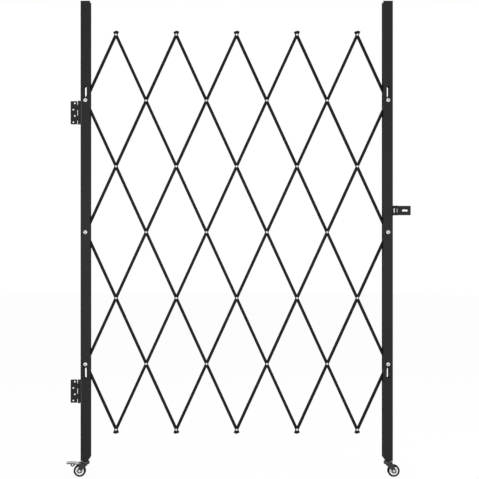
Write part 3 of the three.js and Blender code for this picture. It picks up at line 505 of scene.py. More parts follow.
# How each finish is made, under the record's name for it, and two kinds of metal besides: a duller zinc for
# the pedal and a grey that paints highlights
MAKERS = {
    "black_coat": lambda: powder_coat("satin_black_powder_coat", colours().post_coat, 1.35, 0.36, 0.14),
    "bar_coat": lambda: powder_coat("satin_black_bar_coat", colours().bar_coat, 1.4, 0.36, 0.07),
    "fork_coat": lambda: powder_coat("dark_grey_dip_coat", colours().fork_coat, 1.2, 0.4, 0.26),
    "bright_zinc": lambda: zinc_plate("bright_zinc_plate", colours().bright_zinc),
    "pedal_zinc": lambda: zinc_plate("rubbed_zinc_plate", colours().pedal_zinc),
    "highlight_steel": lambda: zinc_plate("steel_painted_highlight", colours().highlight_steel),
    "dark_zinc": dark_zinc,
    "hub_plastic": nylon,
    "tyre_rubber": rubber,
    "bush_bronze": sintered_bronze,
}
made_finishes = {}


def finish_of(slot):
    if slot not in made_finishes:
        made_finishes[slot] = MAKERS[slot]()
    return made_finishes[slot]


def corners(*points, steps=5):
    """A closed outline; a point with a third value is a corner rounded by that radius"""
    outline = []
    for index, point in enumerate(points):
        here = Vector(point[:2])
        radius = point[2] if len(point) > 2 else 0
        if radius == 0:
            outline.append(here)
            continue
        before = (Vector(points[index - 1][:2]) - here).normalized()
        after = (Vector(points[(index + 1) % len(points)][:2]) - here).normalized()
        half = before.angle(after) / 2
        centre = here + (before + after).normalized() * (radius / math.sin(half))
        start = here + before * (radius / math.tan(half)) - centre
        end = here + after * (radius / math.tan(half)) - centre
        turn = math.atan2(start.x * end.y - start.y * end.x, start.dot(end))
        for step in range(steps + 1):
            outline.append(centre + Matrix.Rotation(turn * step / steps, 2) @ start)
    return outline


def arc(u, v, radius, start, end, steps=12):
    turns = [start + (end - start) * step / steps for step in range(steps + 1)]
    return [Vector((u + radius * math.cos(turn), v + radius * math.sin(turn))) for turn in turns]


def ring(u, v, radius, steps=24):
    return arc(u, v, radius, 0, math.tau, steps)[:-1]


def prism(bm, outline, low, high, place, holes=()):
    """A sheet or bar of that outline from low to high, with holes through it"""
    levels = ([], [])
    for loop in (outline, *holes):
        lower, upper = ([bm.verts.new(place @ Vector((*point, w))) for point in loop] for w in (low, high))
        for index, vertex in enumerate(lower):
            bm.faces.new((lower[index - 1], vertex, upper[index], upper[index - 1]))
        levels[0].append(lower)
        levels[1].append(upper)
    for loops in levels:
        if holes:
            rims = [bm.edges.get((loop[i - 1], loop[i])) for loop in loops for i in range(len(loop))]
            bmesh.ops.triangle_fill(bm, use_beauty=True, edges=rims)
        else:
            bm.faces.new(loops[0])


def turned(bm, profile, place, steps=40):
    """A turned body from (radius, height) points, closed on its axis or on itself"""
    closed = profile[0] == profile[-1]
    turns = [math.tau * step / steps for step in range(steps)]
    rings = []
    for radius, height in profile[:-1] if closed else profile:
        if radius == 0:
            rings.append([bm.verts.new(place @ Vector((0, 0, height)))] * steps)
        else:
            spots = [Vector((radius * math.cos(turn), radius * math.sin(turn), height)) for turn in turns]
            rings.append([bm.verts.new(place @ spot) for spot in spots])
    if closed:
        rings.append(rings[0])
    for first, second in zip(rings, rings[1:]):
        for index in range(steps):
            corner = [first[index - 1], first[index], second[index], second[index - 1]]
            bm.faces.new(list(dict.fromkeys(corner)))


def tube(bm, outer, inner, low, high, place, steps=28):
    turned(bm, [(inner, low), (outer, low), (outer, high), (inner, high), (inner, low)], place, steps)


def with_far_end(profile):
    """A turned profile with its mirror image at the other end"""
    return profile + [(radius, -height) for radius, height in reversed(profile)]


def dome(radius, height, base, steps=6):
    """Profile points of a low dome, from its top on the axis to its rim at the base"""
    turns = [math.pi / 2 * step / steps for step in range(steps + 1)]
    return [(radius * math.sin(turn), base - height * math.cos(turn)) for turn in turns]


def soften(piece, edge):
    """Rounds the sharp edges, as shearing, pressing and coating leave them"""
    bevel = piece.modifiers.new("soft_edges", "BEVEL")
    bevel.width = edge
    bevel.segments = 2
    bevel.limit_method = "ANGLE"
    bevel.angle_limit = math.radians(32)
    bevel.harden_normals = True


def put(bm, name, slot, body, replaced=(), edge=None, finish=None):
    """Turns the mesh into a piece that rides on a body and stands for the CAD nodes it covers"""
    bm.transform(GATE)
    bmesh.ops.recalc_face_normals(bm, faces=bm.faces)
    mesh = bpy.data.meshes.new(name)
    bm.to_mesh(mesh)
    bm.free()
    mesh.polygons.foreach_set("use_smooth", [True] * len(mesh.polygons))
    mesh.set_sharp_from_angle(angle=math.radians(32))
    mesh.materials.append(finish_of(finish or slot))
    piece = bpy.data.objects.new(name, mesh)
    bpy.context.scene.collection.objects.link(piece)
    soften(piece, sizes().sheet_edge if edge is None else edge)
    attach(piece, body)
    if replaced:
        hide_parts(*replaced)
    return piece


def dress(node, slot, edge=None):
    """Gives a CAD node its finish and rounds its edges, and leaves its mesh as it is"""
    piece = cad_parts[node]
    piece.data.materials.clear()
    piece.data.materials.append(finish_of(slot))
    piece.modifiers.new("joined_corners", "WELD").merge_threshold = 0.01 * MM
    flat = piece.modifiers.new("whole_faces", "DECIMATE")
    flat.decimate_type = "DISSOLVE"
    flat.angle_limit = math.radians(1)
    soften(piece, sizes().sheet_edge if edge is None else edge)


def crossing(column, row):
    return Vector((column * COLUMN_PITCH - GATE_HALF, 0, MIDDLE_HEIGHT + (row - ROWS / 2) * ROW_PITCH))


def front_bars():
    """The bars that rise to the right: number, lowest crossing, spans and the spans with a post pin"""
    for number, lead in enumerate(range(1 - ROWS, COLUMNS, 2), 1):
        first = max(0, lead)
        spans = min(COLUMNS, lead + ROWS) - first
        pins = [span for span in (0, spans) if (first + span) % COLUMNS == 0]
        yield number, crossing(first, first - lead), spans, pins


def back_bars():
    """The bars that fall to the right: number, lowest crossing and spans"""
    for number, total in enumerate(range(1, COLUMNS + ROWS, 2), 1):
        first = min(COLUMNS, total)
        yield number, crossing(first, total - first), first - max(0, total - ROWS)


def bar_section(front):
    half = BAR_WIDTH / 2
    back = front + BAR_DEPTH
    inside = half - BAR_WALL
    return corners(
        (-half, back),
        (-half, front, BAR_CORNER),
        (half, front, BAR_CORNER),
        (half, back),
        (inside, back),
        (inside, front + BAR_WALL, BAR_INSIDE_CORNER),
        (-inside, front + BAR_WALL, BAR_INSIDE_CORNER),
        (-inside, back),
    )


def lattice_rivet(bm, place):
    """Semi-tubular rivet: a domed head on the front bar and a rolled tail in the back bar"""
    head = sizes().rivet_head / MM
    rise = sizes().rivet_dome / MM
    turned(bm, [*dome(head, rise, BAR_FRONT), (head, BAR_FRONT + 0.2), (0, BAR_FRONT + 0.2)], place, 28)
    tail = RIVET_TAIL
    profile = [
        (0, tail - 0.6),
        (2.6, tail - 0.6),
        (2.8, tail + 0.2),
        (4.2, tail + 0.4),
        (4.5, tail + 1.0),
        (4.0, tail + 1.8),
        (2.9, tail + 2.1),
        (2.1, tail + 1.5),
        (1.7, tail + 0.8),
        (0, tail + 0.8),
    ]
    turned(bm, profile, place, 20)


class MakeBars(bpy.types.Operator):
    """Slim rolled channel bars of the lattice, with rounded bends"""

    bl_idname = "gate.make_bars"
    bl_label = "Lattice bars"

    def execute(self, context):
        for number, foot, spans, _ in front_bars():
            self.bar(f"rising_bar_{number}", foot, spans, REST_ANGLE, BAR_FRONT)
        for number, foot, spans in back_bars():
            self.bar(f"falling_bar_{number}", foot, spans, -REST_ANGLE, SEAT_GAP / 2)
        return {"FINISHED"}

    def bar(self, name, foot, spans, lean, front):
        bm = bmesh.new()
        place = Matrix.Translation(foot) @ Matrix.Rotation(lean, 4, "Y")
        prism(bm, bar_section(front), -BAR_END, spans * RIVET_PITCH + BAR_END, place)
        put(bm, f"rolled_{name}", "bar_coat", name, [name], 0.25 * MM)


class MakeRivets(bpy.types.Operator):
    """Zinc rivets at the crossings of the lattice, set in the front bars"""

    bl_idname = "gate.make_rivets"
    bl_label = "Lattice rivets"

    def execute(self, context):
        for number, foot, spans, pins in front_bars():
            bm = bmesh.new()
            along = Matrix.Rotation(REST_ANGLE, 4, "Y") @ Vector((0, 0, RIVET_PITCH))
            for span in range(spans + 1):
                if span not in pins:
                    lattice_rivet(bm, at(*(foot + along * span), FACING))
            put(bm, f"rivets_of_bar_{number}", "bright_zinc", f"rising_bar_{number}", edge=0.1 * MM)
        return {"FINISHED"}


class MakePostPins(bpy.types.Operator):
    """Large zinc pins that carry the lattice in the posts: dimpled head, sleeves and a set tail"""

    bl_idname = "gate.make_post_pins"
    bl_label = "Post pins"

    # The body that each pin rides on
    CARRIERS = {
        "left_lower_slide_pin": "rising_bar_3",
        "left_middle_pin": "left_post",
        "left_upper_slide_pin": "falling_bar_3",
        "right_lower_slide_pin": "falling_bar_6",
        "right_middle_pin": "right_post",
        "right_upper_slide_pin": "rising_bar_6",
    }

    def execute(self, context):
        head = sizes().pin_head / MM
        face = FLANGE_FACE
        sleeve = FLANGE_INSIDE - SEAT_GAP
        neck = BAR_DEPTH + 1.5 * SEAT_GAP
        profile = [
            (0, -face + 3.6),
            (2.8, -face + 0.8),
            (2.9, -face - 2.0),
            (3.4, -face - 2.6),
            (0.62 * head, -face - 2.5),
            (0.85 * head, -face - 1.8),
            (0.97 * head, -face - 0.9),
            (head, -face - 0.2),
            (head, -face + 0.1),
            (PIN_SHANK, -face + 0.1),
            (PIN_SHANK, -sleeve),
            (PIN_SLEEVE, -sleeve),
            (PIN_SLEEVE, -neck),
            (PIN_NECK, -neck),
            (PIN_NECK, neck),
            (PIN_SLEEVE, neck),
            (PIN_SLEEVE, sleeve),
            (PIN_SHANK, sleeve),
            (PIN_SHANK, face),
            (PIN_TAIL, face),
            (PIN_TAIL, face + 0.8),
            (6.0, face + 1.7),
            (3.4, face + 2.0),
            (2.4, face + 1.3),
            (0, face + 1.2),
        ]
        for name, body in self.CARRIERS.items():
            bm = bmesh.new()
            spot = middle(name) - middle("left_middle_pin")
            turned(bm, profile, at(spot.x - GATE_HALF, 0, spot.z + MIDDLE_HEIGHT, FACING))
            put(bm, f"turned_{name}", "bright_zinc", body, [name], 0.15 * MM)
        return {"FINISHED"}


class DressPosts(bpy.types.Operator):
    """Powder coat on the post channels, and zinc on the foot brackets and nuts inside them"""

    bl_idname = "gate.dress_posts"
    bl_label = "Posts"

    def execute(self, context):
        for side in ("left", "right"):
            dress(f"{side}_post", "black_coat", 0.35 * MM)
            dress(f"{side}_post_foot", "dark_zinc")
            dress(f"{side}_stem_nut", "bright_zinc")
        return {"FINISHED"}


def plate_rivet(bm, x, y, z, way):
    """Rivet through a plate and a post's web, facing the way given: a low dome outside, a set end inside"""
    place = at(x, y, z, Matrix.Scale(-way, 4, (1, 0, 0)) @ SIDEWAYS)
    turned(bm, [*dome(PLATE_RIVET, 1.7, 0), (PLATE_RIVET, 0.2), (0, 0.2)], place, 24)
    inner = 2 * SHEET + 2 * SEAT_GAP - 0.2
    set_end = [(0, inner), (4.4, inner), (4.4, inner + 0.5), (3.2, inner + 1.4), (0, inner + 1.6)]
    turned(bm, set_end, place, 24)


def knuckles(bm, first, radius, sheet):
    """Rolled knuckles of one hinge leaf, each with the tongue of sheet that it is rolled from"""
    for low, high in list(zip(HINGE_EDGES, HINGE_EDGES[1:]))[first::2]:
        low += 0 if low == -HINGE_HALF else SEAT_GAP / 2
        high -= 0 if high == HINGE_HALF else SEAT_GAP / 2
        tube(bm, radius, HINGE_BORE, low, high, at(*HINGE_AXIS, 0))
        prism(bm, sheet, low + 0.02, high - 0.02, LAID)


class MakeHinges(bpy.types.Operator):
    """Two hinges: a drilled wall leaf, a wrapped post leaf with a painted highlight along its edge, and a
    headed pin each
    """

    bl_idname = "gate.make_hinges"
    bl_label = "Hinges"

    def execute(self, context):
        for where, height in zip(("lower", "upper"), HINGE_HEIGHTS):
            place = at(-GATE_HALF, 0, height)
            self.wall_leaf(where, place)
            self.post_leaf(where, place)
            self.painted_highlight_edge(where, place)
            self.pin(where, place)
        return {"FINISHED"}

    def wall_leaf(self, where, place):
        outer, inner = WALL_LEAF
        front, back = WALL_LEAF_DEPTH
        rim = corners(
            (outer, -HINGE_HALF, 3),
            (inner, -HINGE_HALF, 0.5),
            (inner, HINGE_HALF, 0.5),
            (outer, HINGE_HALF, 3),
        )
        spots = []
        for hole in range(WALL_HOLES):
            side = (hole % 2 - 0.5) * WALL_HOLE_STAGGER
            spots.append((WALL_HOLE_LINE + side, (hole - (WALL_HOLES - 1) / 2) * WALL_HOLE_PITCH))
        bm = bmesh.new()
        prism(bm, rim, front, back, FACING, [ring(x, z, WALL_HOLE) for x, z in spots])
        tongue = corners(
            (inner - 0.5, front + 0.02),
            (HINGE_AXIS[0] + 2.2, front + 0.02, 0.6),
            (HINGE_AXIS[0] + 2.2, back - 0.02, 2.2),
            (inner - 0.5, back - 0.02),
        )
        knuckles(bm, 1, WALL_KNUCKLE, tongue)
        bm.transform(place)
        put(bm, f"{where}_drilled_wall_leaf", "black_coat", "wall_leaves", [f"{where}_wall_leaf"])

    def post_leaf(self, where, place):
        web = HINGE_WEB
        tip = web + POST_LEAF_RETURN
        wrap = corners(
            (web, RETURN_FACE + POST_LEAF_LEG),
            (web, RETURN_FACE, 0.8),
            (tip, RETURN_FACE, 1),
            (tip, RETURN_FACE + SHEET),
            (web + SHEET, RETURN_FACE + SHEET, 0.6),
            (web + SHEET, RETURN_FACE + POST_LEAF_LEG),
        )
        bm = bmesh.new()
        prism(bm, wrap, -HINGE_HALF, HINGE_HALF, LAID)
        tongue = corners(
            (HINGE_AXIS[0], RETURN_FACE + 0.02),
            (web + 2.4, RETURN_FACE + 0.02),
            (web + 2.4, RETURN_FACE + SHEET - 0.02),
            (HINGE_AXIS[0], RETURN_FACE + SHEET - 0.02),
        )
        knuckles(bm, 0, POST_KNUCKLE, tongue)
        for z in HINGE_RIVETS:
            plate_rivet(bm, web, RETURN_FACE + PLATE_RIVET_EDGE, z, -1)
        bm.transform(place)
        put(bm, f"{where}_wrapped_post_leaf", "black_coat", "left_post", [f"{where}_post_leaf"])

    # Painted highlight: a thin grey strip over the post leaf's return edge paints the light that edge catches
    def painted_highlight_edge(self, where, place):
        tip = HINGE_WEB + POST_LEAF_RETURN
        highlight_strip = corners(
            (tip - HIGHLIGHT_EDGE_WIDTH, RETURN_FACE - 0.03),
            (tip + 0.04, RETURN_FACE - 0.03, 0.7),
            (tip + 0.04, RETURN_FACE + 1.2),
            (tip - HIGHLIGHT_EDGE_WIDTH, RETURN_FACE + 1.2),
        )
        bm = bmesh.new()
        prism(bm, highlight_strip, 0.8 - HINGE_HALF, HINGE_HALF - 0.8, LAID)
        bm.transform(place)
        name = f"{where}_highlight_leaf_edge"
        put(bm, name, "dark_zinc", "left_post", edge=0.05 * MM, finish="highlight_steel")

    def pin(self, where, place):
        end = HINGE_HALF + SEAT_GAP
        head = [(0, -end - 1.6), (2.2, -end - 1.4), (3.2, -end - 0.6), (3.2, -end), (2.2, -end)]
        bm = bmesh.new()
        turned(bm, with_far_end(head), at(*HINGE_AXIS, 0), 28)
        bm.transform(place)
        put(bm, f"{where}_headed_hinge_pin", "dark_zinc", "wall_leaves", [f"{where}_hinge_pin"])


class MakeHasp(bpy.types.Operator):
    """Hasp: a wrapped base with two arms, a slotted leaf with a rolled knuckle that carries a painted
    highlight, and its pin
    """

    bl_idname = "gate.make_hasp"
    bl_label = "Hasp"

    def execute(self, context):
        place = at(GATE_HALF, 0, HASP_HEIGHT)
        self.base(place)
        self.leaf(place)
        self.painted_highlight_face(place)
        self.pin(place)
        return {"FINISHED"}

    def base(self, place):
        start = POST_HALF + SEAT_GAP
        web = start + SHEET
        front = POST_FRONT
        tall = HASP_BASE_HALF
        arm = HASP_LEAF_HALF
        window = HASP_WINDOW_HALF
        bm = bmesh.new()
        leg = corners(
            (web, front, 1.6),
            (web, front + HASP_BASE_LEG, 0.5),
            (start, front + HASP_BASE_LEG, 0.5),
            (start, front + 0.4),
            (web - 1, front),
        )
        prism(bm, leg, -tall, tall, LAID)
        nose = corners(
            (start + 0.5, -tall + 0.02),
            (web + 0.4, -tall + 0.02, 1),
            (web + 4, -arm, 1.5),
            (HASP_AXIS[0], -arm),
            (HASP_AXIS[0], -window),
            (HASP_WINDOW_EDGE, -window, 1.2),
            (HASP_WINDOW_EDGE, window, 1.2),
            (HASP_AXIS[0], window),
            (HASP_AXIS[0], arm),
            (web + 4, arm, 1.5),
            (web + 0.4, tall - 0.02, 1),
            (start + 0.5, tall - 0.02),
        )
        prism(bm, nose, front + 0.02, front + SHEET, FACING)
        tube(bm, HASP_BARREL, HASP_BORE, -arm, -window, at(*HASP_AXIS, 0))
        tube(bm, HASP_BARREL, HASP_BORE, window, arm, at(*HASP_AXIS, 0))
        for z in HASP_RIVETS:
            plate_rivet(bm, web, front + PLATE_RIVET_EDGE, z, 1)
        bm.transform(place)
        put(bm, "wrapped_hasp_base", "black_coat", "right_post", ["hasp_base"])

    def leaf(self, place):
        axis = HASP_AXIS[0]
        start = axis + HASP_BARREL + 1
        end = HASP_LEAF_END
        half = HASP_LEAF_HALF
        neck = HASP_NECK_HALF
        front = POST_FRONT
        rim = corners(
            (axis, -neck),
            (start, -neck, 1),
            (start, -half, 1),
            (end, -half, 2.5),
            (end, half, 2.5),
            (start, half, 1),
            (start, neck, 1),
            (axis, neck),
        )
        inner, outer = HASP_SLOT
        low, high = -HASP_SLOT_HALF, HASP_SLOT_HALF
        turn = HASP_SLOT_HALF - 0.01
        slot = corners(
            (inner, low, turn), (outer, low, turn), (outer, high, turn), (inner, high, turn), steps=8
        )
        curl = corners(
            (axis, front - 1.4), (axis + 8, front - 1.4, 1.3), (axis + 8, front + 0.4), (axis, front + 0.4)
        )
        bm = bmesh.new()
        prism(bm, rim, front, front + 2.5, FACING, [slot])
        prism(bm, curl, -neck + 0.02, neck - 0.02, LAID)
        near, far = HASP_AXIS[1] - HASP_LAP_HALF, HASP_AXIS[1] + HASP_LAP_HALF
        lap = corners(
            (axis - HASP_LAP, near, 0.6), (axis - 5.8, near), (axis - 5.8, far), (axis - HASP_LAP, far, 0.6)
        )
        prism(bm, lap, -neck + 0.02, neck - 0.02, LAID)
        tube(bm, HASP_BARREL - 0.1, HASP_BORE, -neck, neck, at(*HASP_AXIS, 0))
        bm.transform(place)
        put(bm, "slotted_hasp_leaf", "black_coat", "hasp_leaf", ["hasp_leaf"])

    # Painted highlight: a thin grey shell over the front and right of the hasp's knuckle paints the highlight
    # it catches
    def painted_highlight_face(self, place):
        half = HASP_NECK_HALF - 0.6
        face = arc(*HASP_AXIS, HASP_BARREL - 0.01, *HIGHLIGHT_ARC, 10)
        face += arc(*HASP_AXIS, HASP_BARREL - 0.4, *reversed(HIGHLIGHT_ARC), 10)
        bm = bmesh.new()
        prism(bm, face, -half, half, LAID)
        bm.transform(place)
        put(bm, "highlight_knuckle_face", "dark_zinc", "hasp_leaf", edge=0.05 * MM, finish="highlight_steel")

    def pin(self, place):
        end = HASP_LEAF_HALF + SEAT_GAP
        head = [(0, -end - 0.8), (3.4, -end - 0.75), (4.6, -end - 0.4), (4.8, -end), (4, -end)]
        bm = bmesh.new()
        turned(bm, with_far_end(head), at(*HASP_AXIS, 0), 28)
        bm.transform(place)
        put(bm, "headed_hasp_pin", "dark_zinc", "right_post", ["hasp_pin"])


def caster_place(side):
    """Puts a caster's swivel axis under its post, with its wheel away from the gate"""
    way = -1 if side == "left" else 1
    return at(way * GATE_HALF, 0, 0, Matrix.Scale(way, 4, (1, 0, 0)))


class MakeCasters(bpy.types.Operator):
    """Two swivel casters: cup, fork, axle, hub, tyre and the stem that holds them in the posts"""

    bl_idname = "gate.make_casters"
    bl_label = "Casters"

    def execute(self, context):
        for side in ("left", "right"):
            place = caster_place(side)
            self.cup(side, place)
            self.stem(side, place)
            self.fork(side, place)
            self.axle_bolt(side, place)
            self.axle_nut(side, place)
            self.bush(side, place)
            self.tyre(side, place)
            self.hub(side, place)
        return {"FINISHED"}

    def cup(self, side, place):
        bore = STEM_RADIUS + SEAT_GAP
        cup = [
            (bore, CUP_RIM),
            (14.2, CUP_RIM),
            (14.4, CUP_RIM - 1.5),
            (15.6, CUP_RIM - 1.5),
            (16.1, CUP_RIM - 0.9),
            (15.9, CUP_RIM + 3.4),
            (15.2, CUP_RIM + 5.4),
            (13.6, CUP_RIM + 7.2),
            (12.6, CUP_RIM + 8.6),
            (12.0, CUP_RIM + 9.6),
            (bore, CUP_RIM + 9.6),
            (bore, CUP_RIM),
        ]
        bm = bmesh.new()
        turned(bm, cup, LAID, 48)
        bm.transform(place)
        put(bm, f"{side}_pressed_cup", "dark_zinc", f"{side}_post", [f"{side}_swivel_cup"])

    def stem(self, side, place):
        stem = [
            (0, STEM_SEAT - 2.7),
            (5.4, STEM_SEAT - 2.5),
            (7.4, STEM_SEAT - 1.6),
            (8, STEM_SEAT - 0.7),
            (8, STEM_SEAT),
            (STEM_RADIUS, STEM_SEAT),
            (STEM_RADIUS, STEM_SEAT + 36),
            (4.2, STEM_SEAT + 37),
            (0, STEM_SEAT + 37),
        ]
        bm = bmesh.new()
        turned(bm, stem, LAID, 32)
        bm.transform(place)
        put(bm, f"{side}_headed_stem", "bright_zinc", f"{side}_post", [f"{side}_caster_stem"])

    def fork(self, side, place):
        bm = bmesh.new()
        band = corners(
            (-FORK_OUTSIDE, FORK_BAND_END),
            (-FORK_OUTSIDE, FORK_TOP, 3),
            (FORK_OUTSIDE, FORK_TOP, 3),
            (FORK_OUTSIDE, FORK_BAND_END),
            (FORK_INSIDE, FORK_BAND_END),
            (FORK_INSIDE, FORK_TOP - SHEET, 1),
            (-FORK_INSIDE, FORK_TOP - SHEET, 1),
            (-FORK_INSIDE, FORK_BAND_END),
        )
        prism(bm, band, -FORK_SHOULDER, FORK_TOE, SIDEWAYS)
        heel = corners((-FORK_HEEL, -9.5, 5), (-FORK_HEEL, 9.5, 5), (-7, 12.6), (-7, -12.6))
        prism(bm, heel, FORK_TOP - SHEET, FORK_TOP - 0.02, LAID)
        lip_top = FORK_TOP + FORK_LIP_HEIGHT
        lip = corners(
            (-FORK_LIP_HALF, FORK_TOP - 0.4),
            (FORK_LIP_HALF, FORK_TOP - 0.4),
            (FORK_LIP_HALF, lip_top, 2.5),
            (-FORK_LIP_HALF, lip_top, 2.5),
        )
        prism(bm, lip, FORK_TOE - 3.4, FORK_TOE - 0.02, SIDEWAYS)
        axle_u, axle_v = WHEEL
        leg = [Vector((-FORK_SHOULDER, FORK_SIDE_TOP)), Vector((22, FORK_SIDE_TOP))]
        leg += arc(*FORK_KNEE, 0.6, -0.2, 4)
        leg += arc(axle_u, axle_v, FORK_END, math.pi / 3, -1.07 * math.pi, 18)
        leg += [Vector((axle_u + u, axle_v + v)) for u, v in FORK_NOTCH]
        for near, far in ((-FORK_OUTSIDE, -FORK_INSIDE), (FORK_INSIDE, FORK_OUTSIDE)):
            prism(bm, leg, near + 0.03, far - 0.03, FACING)
            if side == "left":
                prism(bm, ring(*PEDAL_PIVOT, EAR_RADIUS), near, far, FACING)
        low, high = FORK_TOP - 0.4, CUP_RIM - SEAT_GAP
        race = [(0, low), (13.2, low), (13.5, low + 1), (13.3, high - 0.6), (12.6, high), (0, high)]
        turned(bm, race, LAID, 40)
        bm.transform(place)
        put(bm, f"{side}_pressed_fork", "fork_coat", f"{side}_fork", [f"{side}_caster_fork"])

    def axle_bolt(self, side, place):
        face = FORK_OUTSIDE + SEAT_GAP
        bolt = [
            (0, -face - 3.5),
            *dome(4.1, 1.0, -face - 2.5)[1:],
            (AXLE_HEAD - 0.5, -face - 2.2),
            (AXLE_HEAD, -face - 1.2),
            (AXLE_HEAD, -face + 0.1),
            (AXLE_RADIUS, -face + 0.1),
            (AXLE_RADIUS, face + 5.6),
            (3.4, face + 6.2),
            (0, face + 6.2),
        ]
        bm = bmesh.new()
        turned(bm, bolt, AXLE, 36)
        bm.transform(place)
        put(bm, f"{side}_domed_axle_bolt", "bright_zinc", f"{side}_fork", [f"{side}_axle_bolt"], 0.15 * MM)

    def axle_nut(self, side, place):
        face = FORK_OUTSIDE + SEAT_GAP
        top = face + NUT_HEIGHT
        bm = bmesh.new()
        prism(bm, ring(0, 0, NUT_RADIUS, 6), face, top, AXLE, [ring(0, 0, BUSH_BORE)])
        tube(bm, 5.9, BUSH_BORE, top - 0.1, top + 1.1, AXLE)
        bm.transform(place)
        put(bm, f"{side}_lock_nut", "bright_zinc", f"{side}_fork", [f"{side}_axle_nut"], 0.4 * MM)

    def bush(self, side, place):
        half = FORK_INSIDE - SEAT_GAP
        bm = bmesh.new()
        tube(bm, BUSH_RADIUS, BUSH_BORE, -half, half, AXLE)
        bm.transform(place)
        put(bm, f"{side}_plain_bush", "bush_bronze", f"{side}_fork", [f"{side}_wheel_bush"], 0.1 * MM)

    def tyre(self, side, place):
        shoulder = sizes().tyre_shoulder / MM
        seat_half = TYRE_HALF - 0.3
        rounded = arc(WHEEL_RADIUS - shoulder, TYRE_HALF - shoulder, shoulder, 0, math.pi / 2, 5)
        tyre = [
            (TYRE_SEAT, -seat_half),
            *[(radius, -width) for radius, width in reversed(rounded)],
            (WHEEL_RADIUS, -0.35),
            (WHEEL_RADIUS - 0.3, 0),
            (WHEEL_RADIUS, 0.35),
            *rounded,
            (TYRE_SEAT, seat_half),
            (TYRE_SEAT, -seat_half),
        ]
        bm = bmesh.new()
        turned(bm, tyre, AXLE, 64)
        bm.transform(place)
        put(bm, f"{side}_moulded_tyre", "tyre_rubber", f"{side}_wheel", [f"{side}_tyre"], 0.2 * MM)

    def hub(self, side, place):
        near_side = [
            (HUB_BORE, -HUB_HALF),
            (9, -HUB_HALF),
            (9.3, -4.4),
            (10.6, -2.8),
            (12.8, -2.5),
            (14.2, -3.2),
            (14.7, -4.6),
            (15.0, -HUB_HALF),
            (HUB_RADIUS, -HUB_HALF),
        ]
        bm = bmesh.new()
        turned(bm, [*with_far_end(near_side), near_side[0]], AXLE, 48)
        bm.transform(place)
        put(bm, f"{side}_moulded_hub", "hub_plastic", f"{side}_wheel", [f"{side}_wheel_hub"], 0.35 * MM)


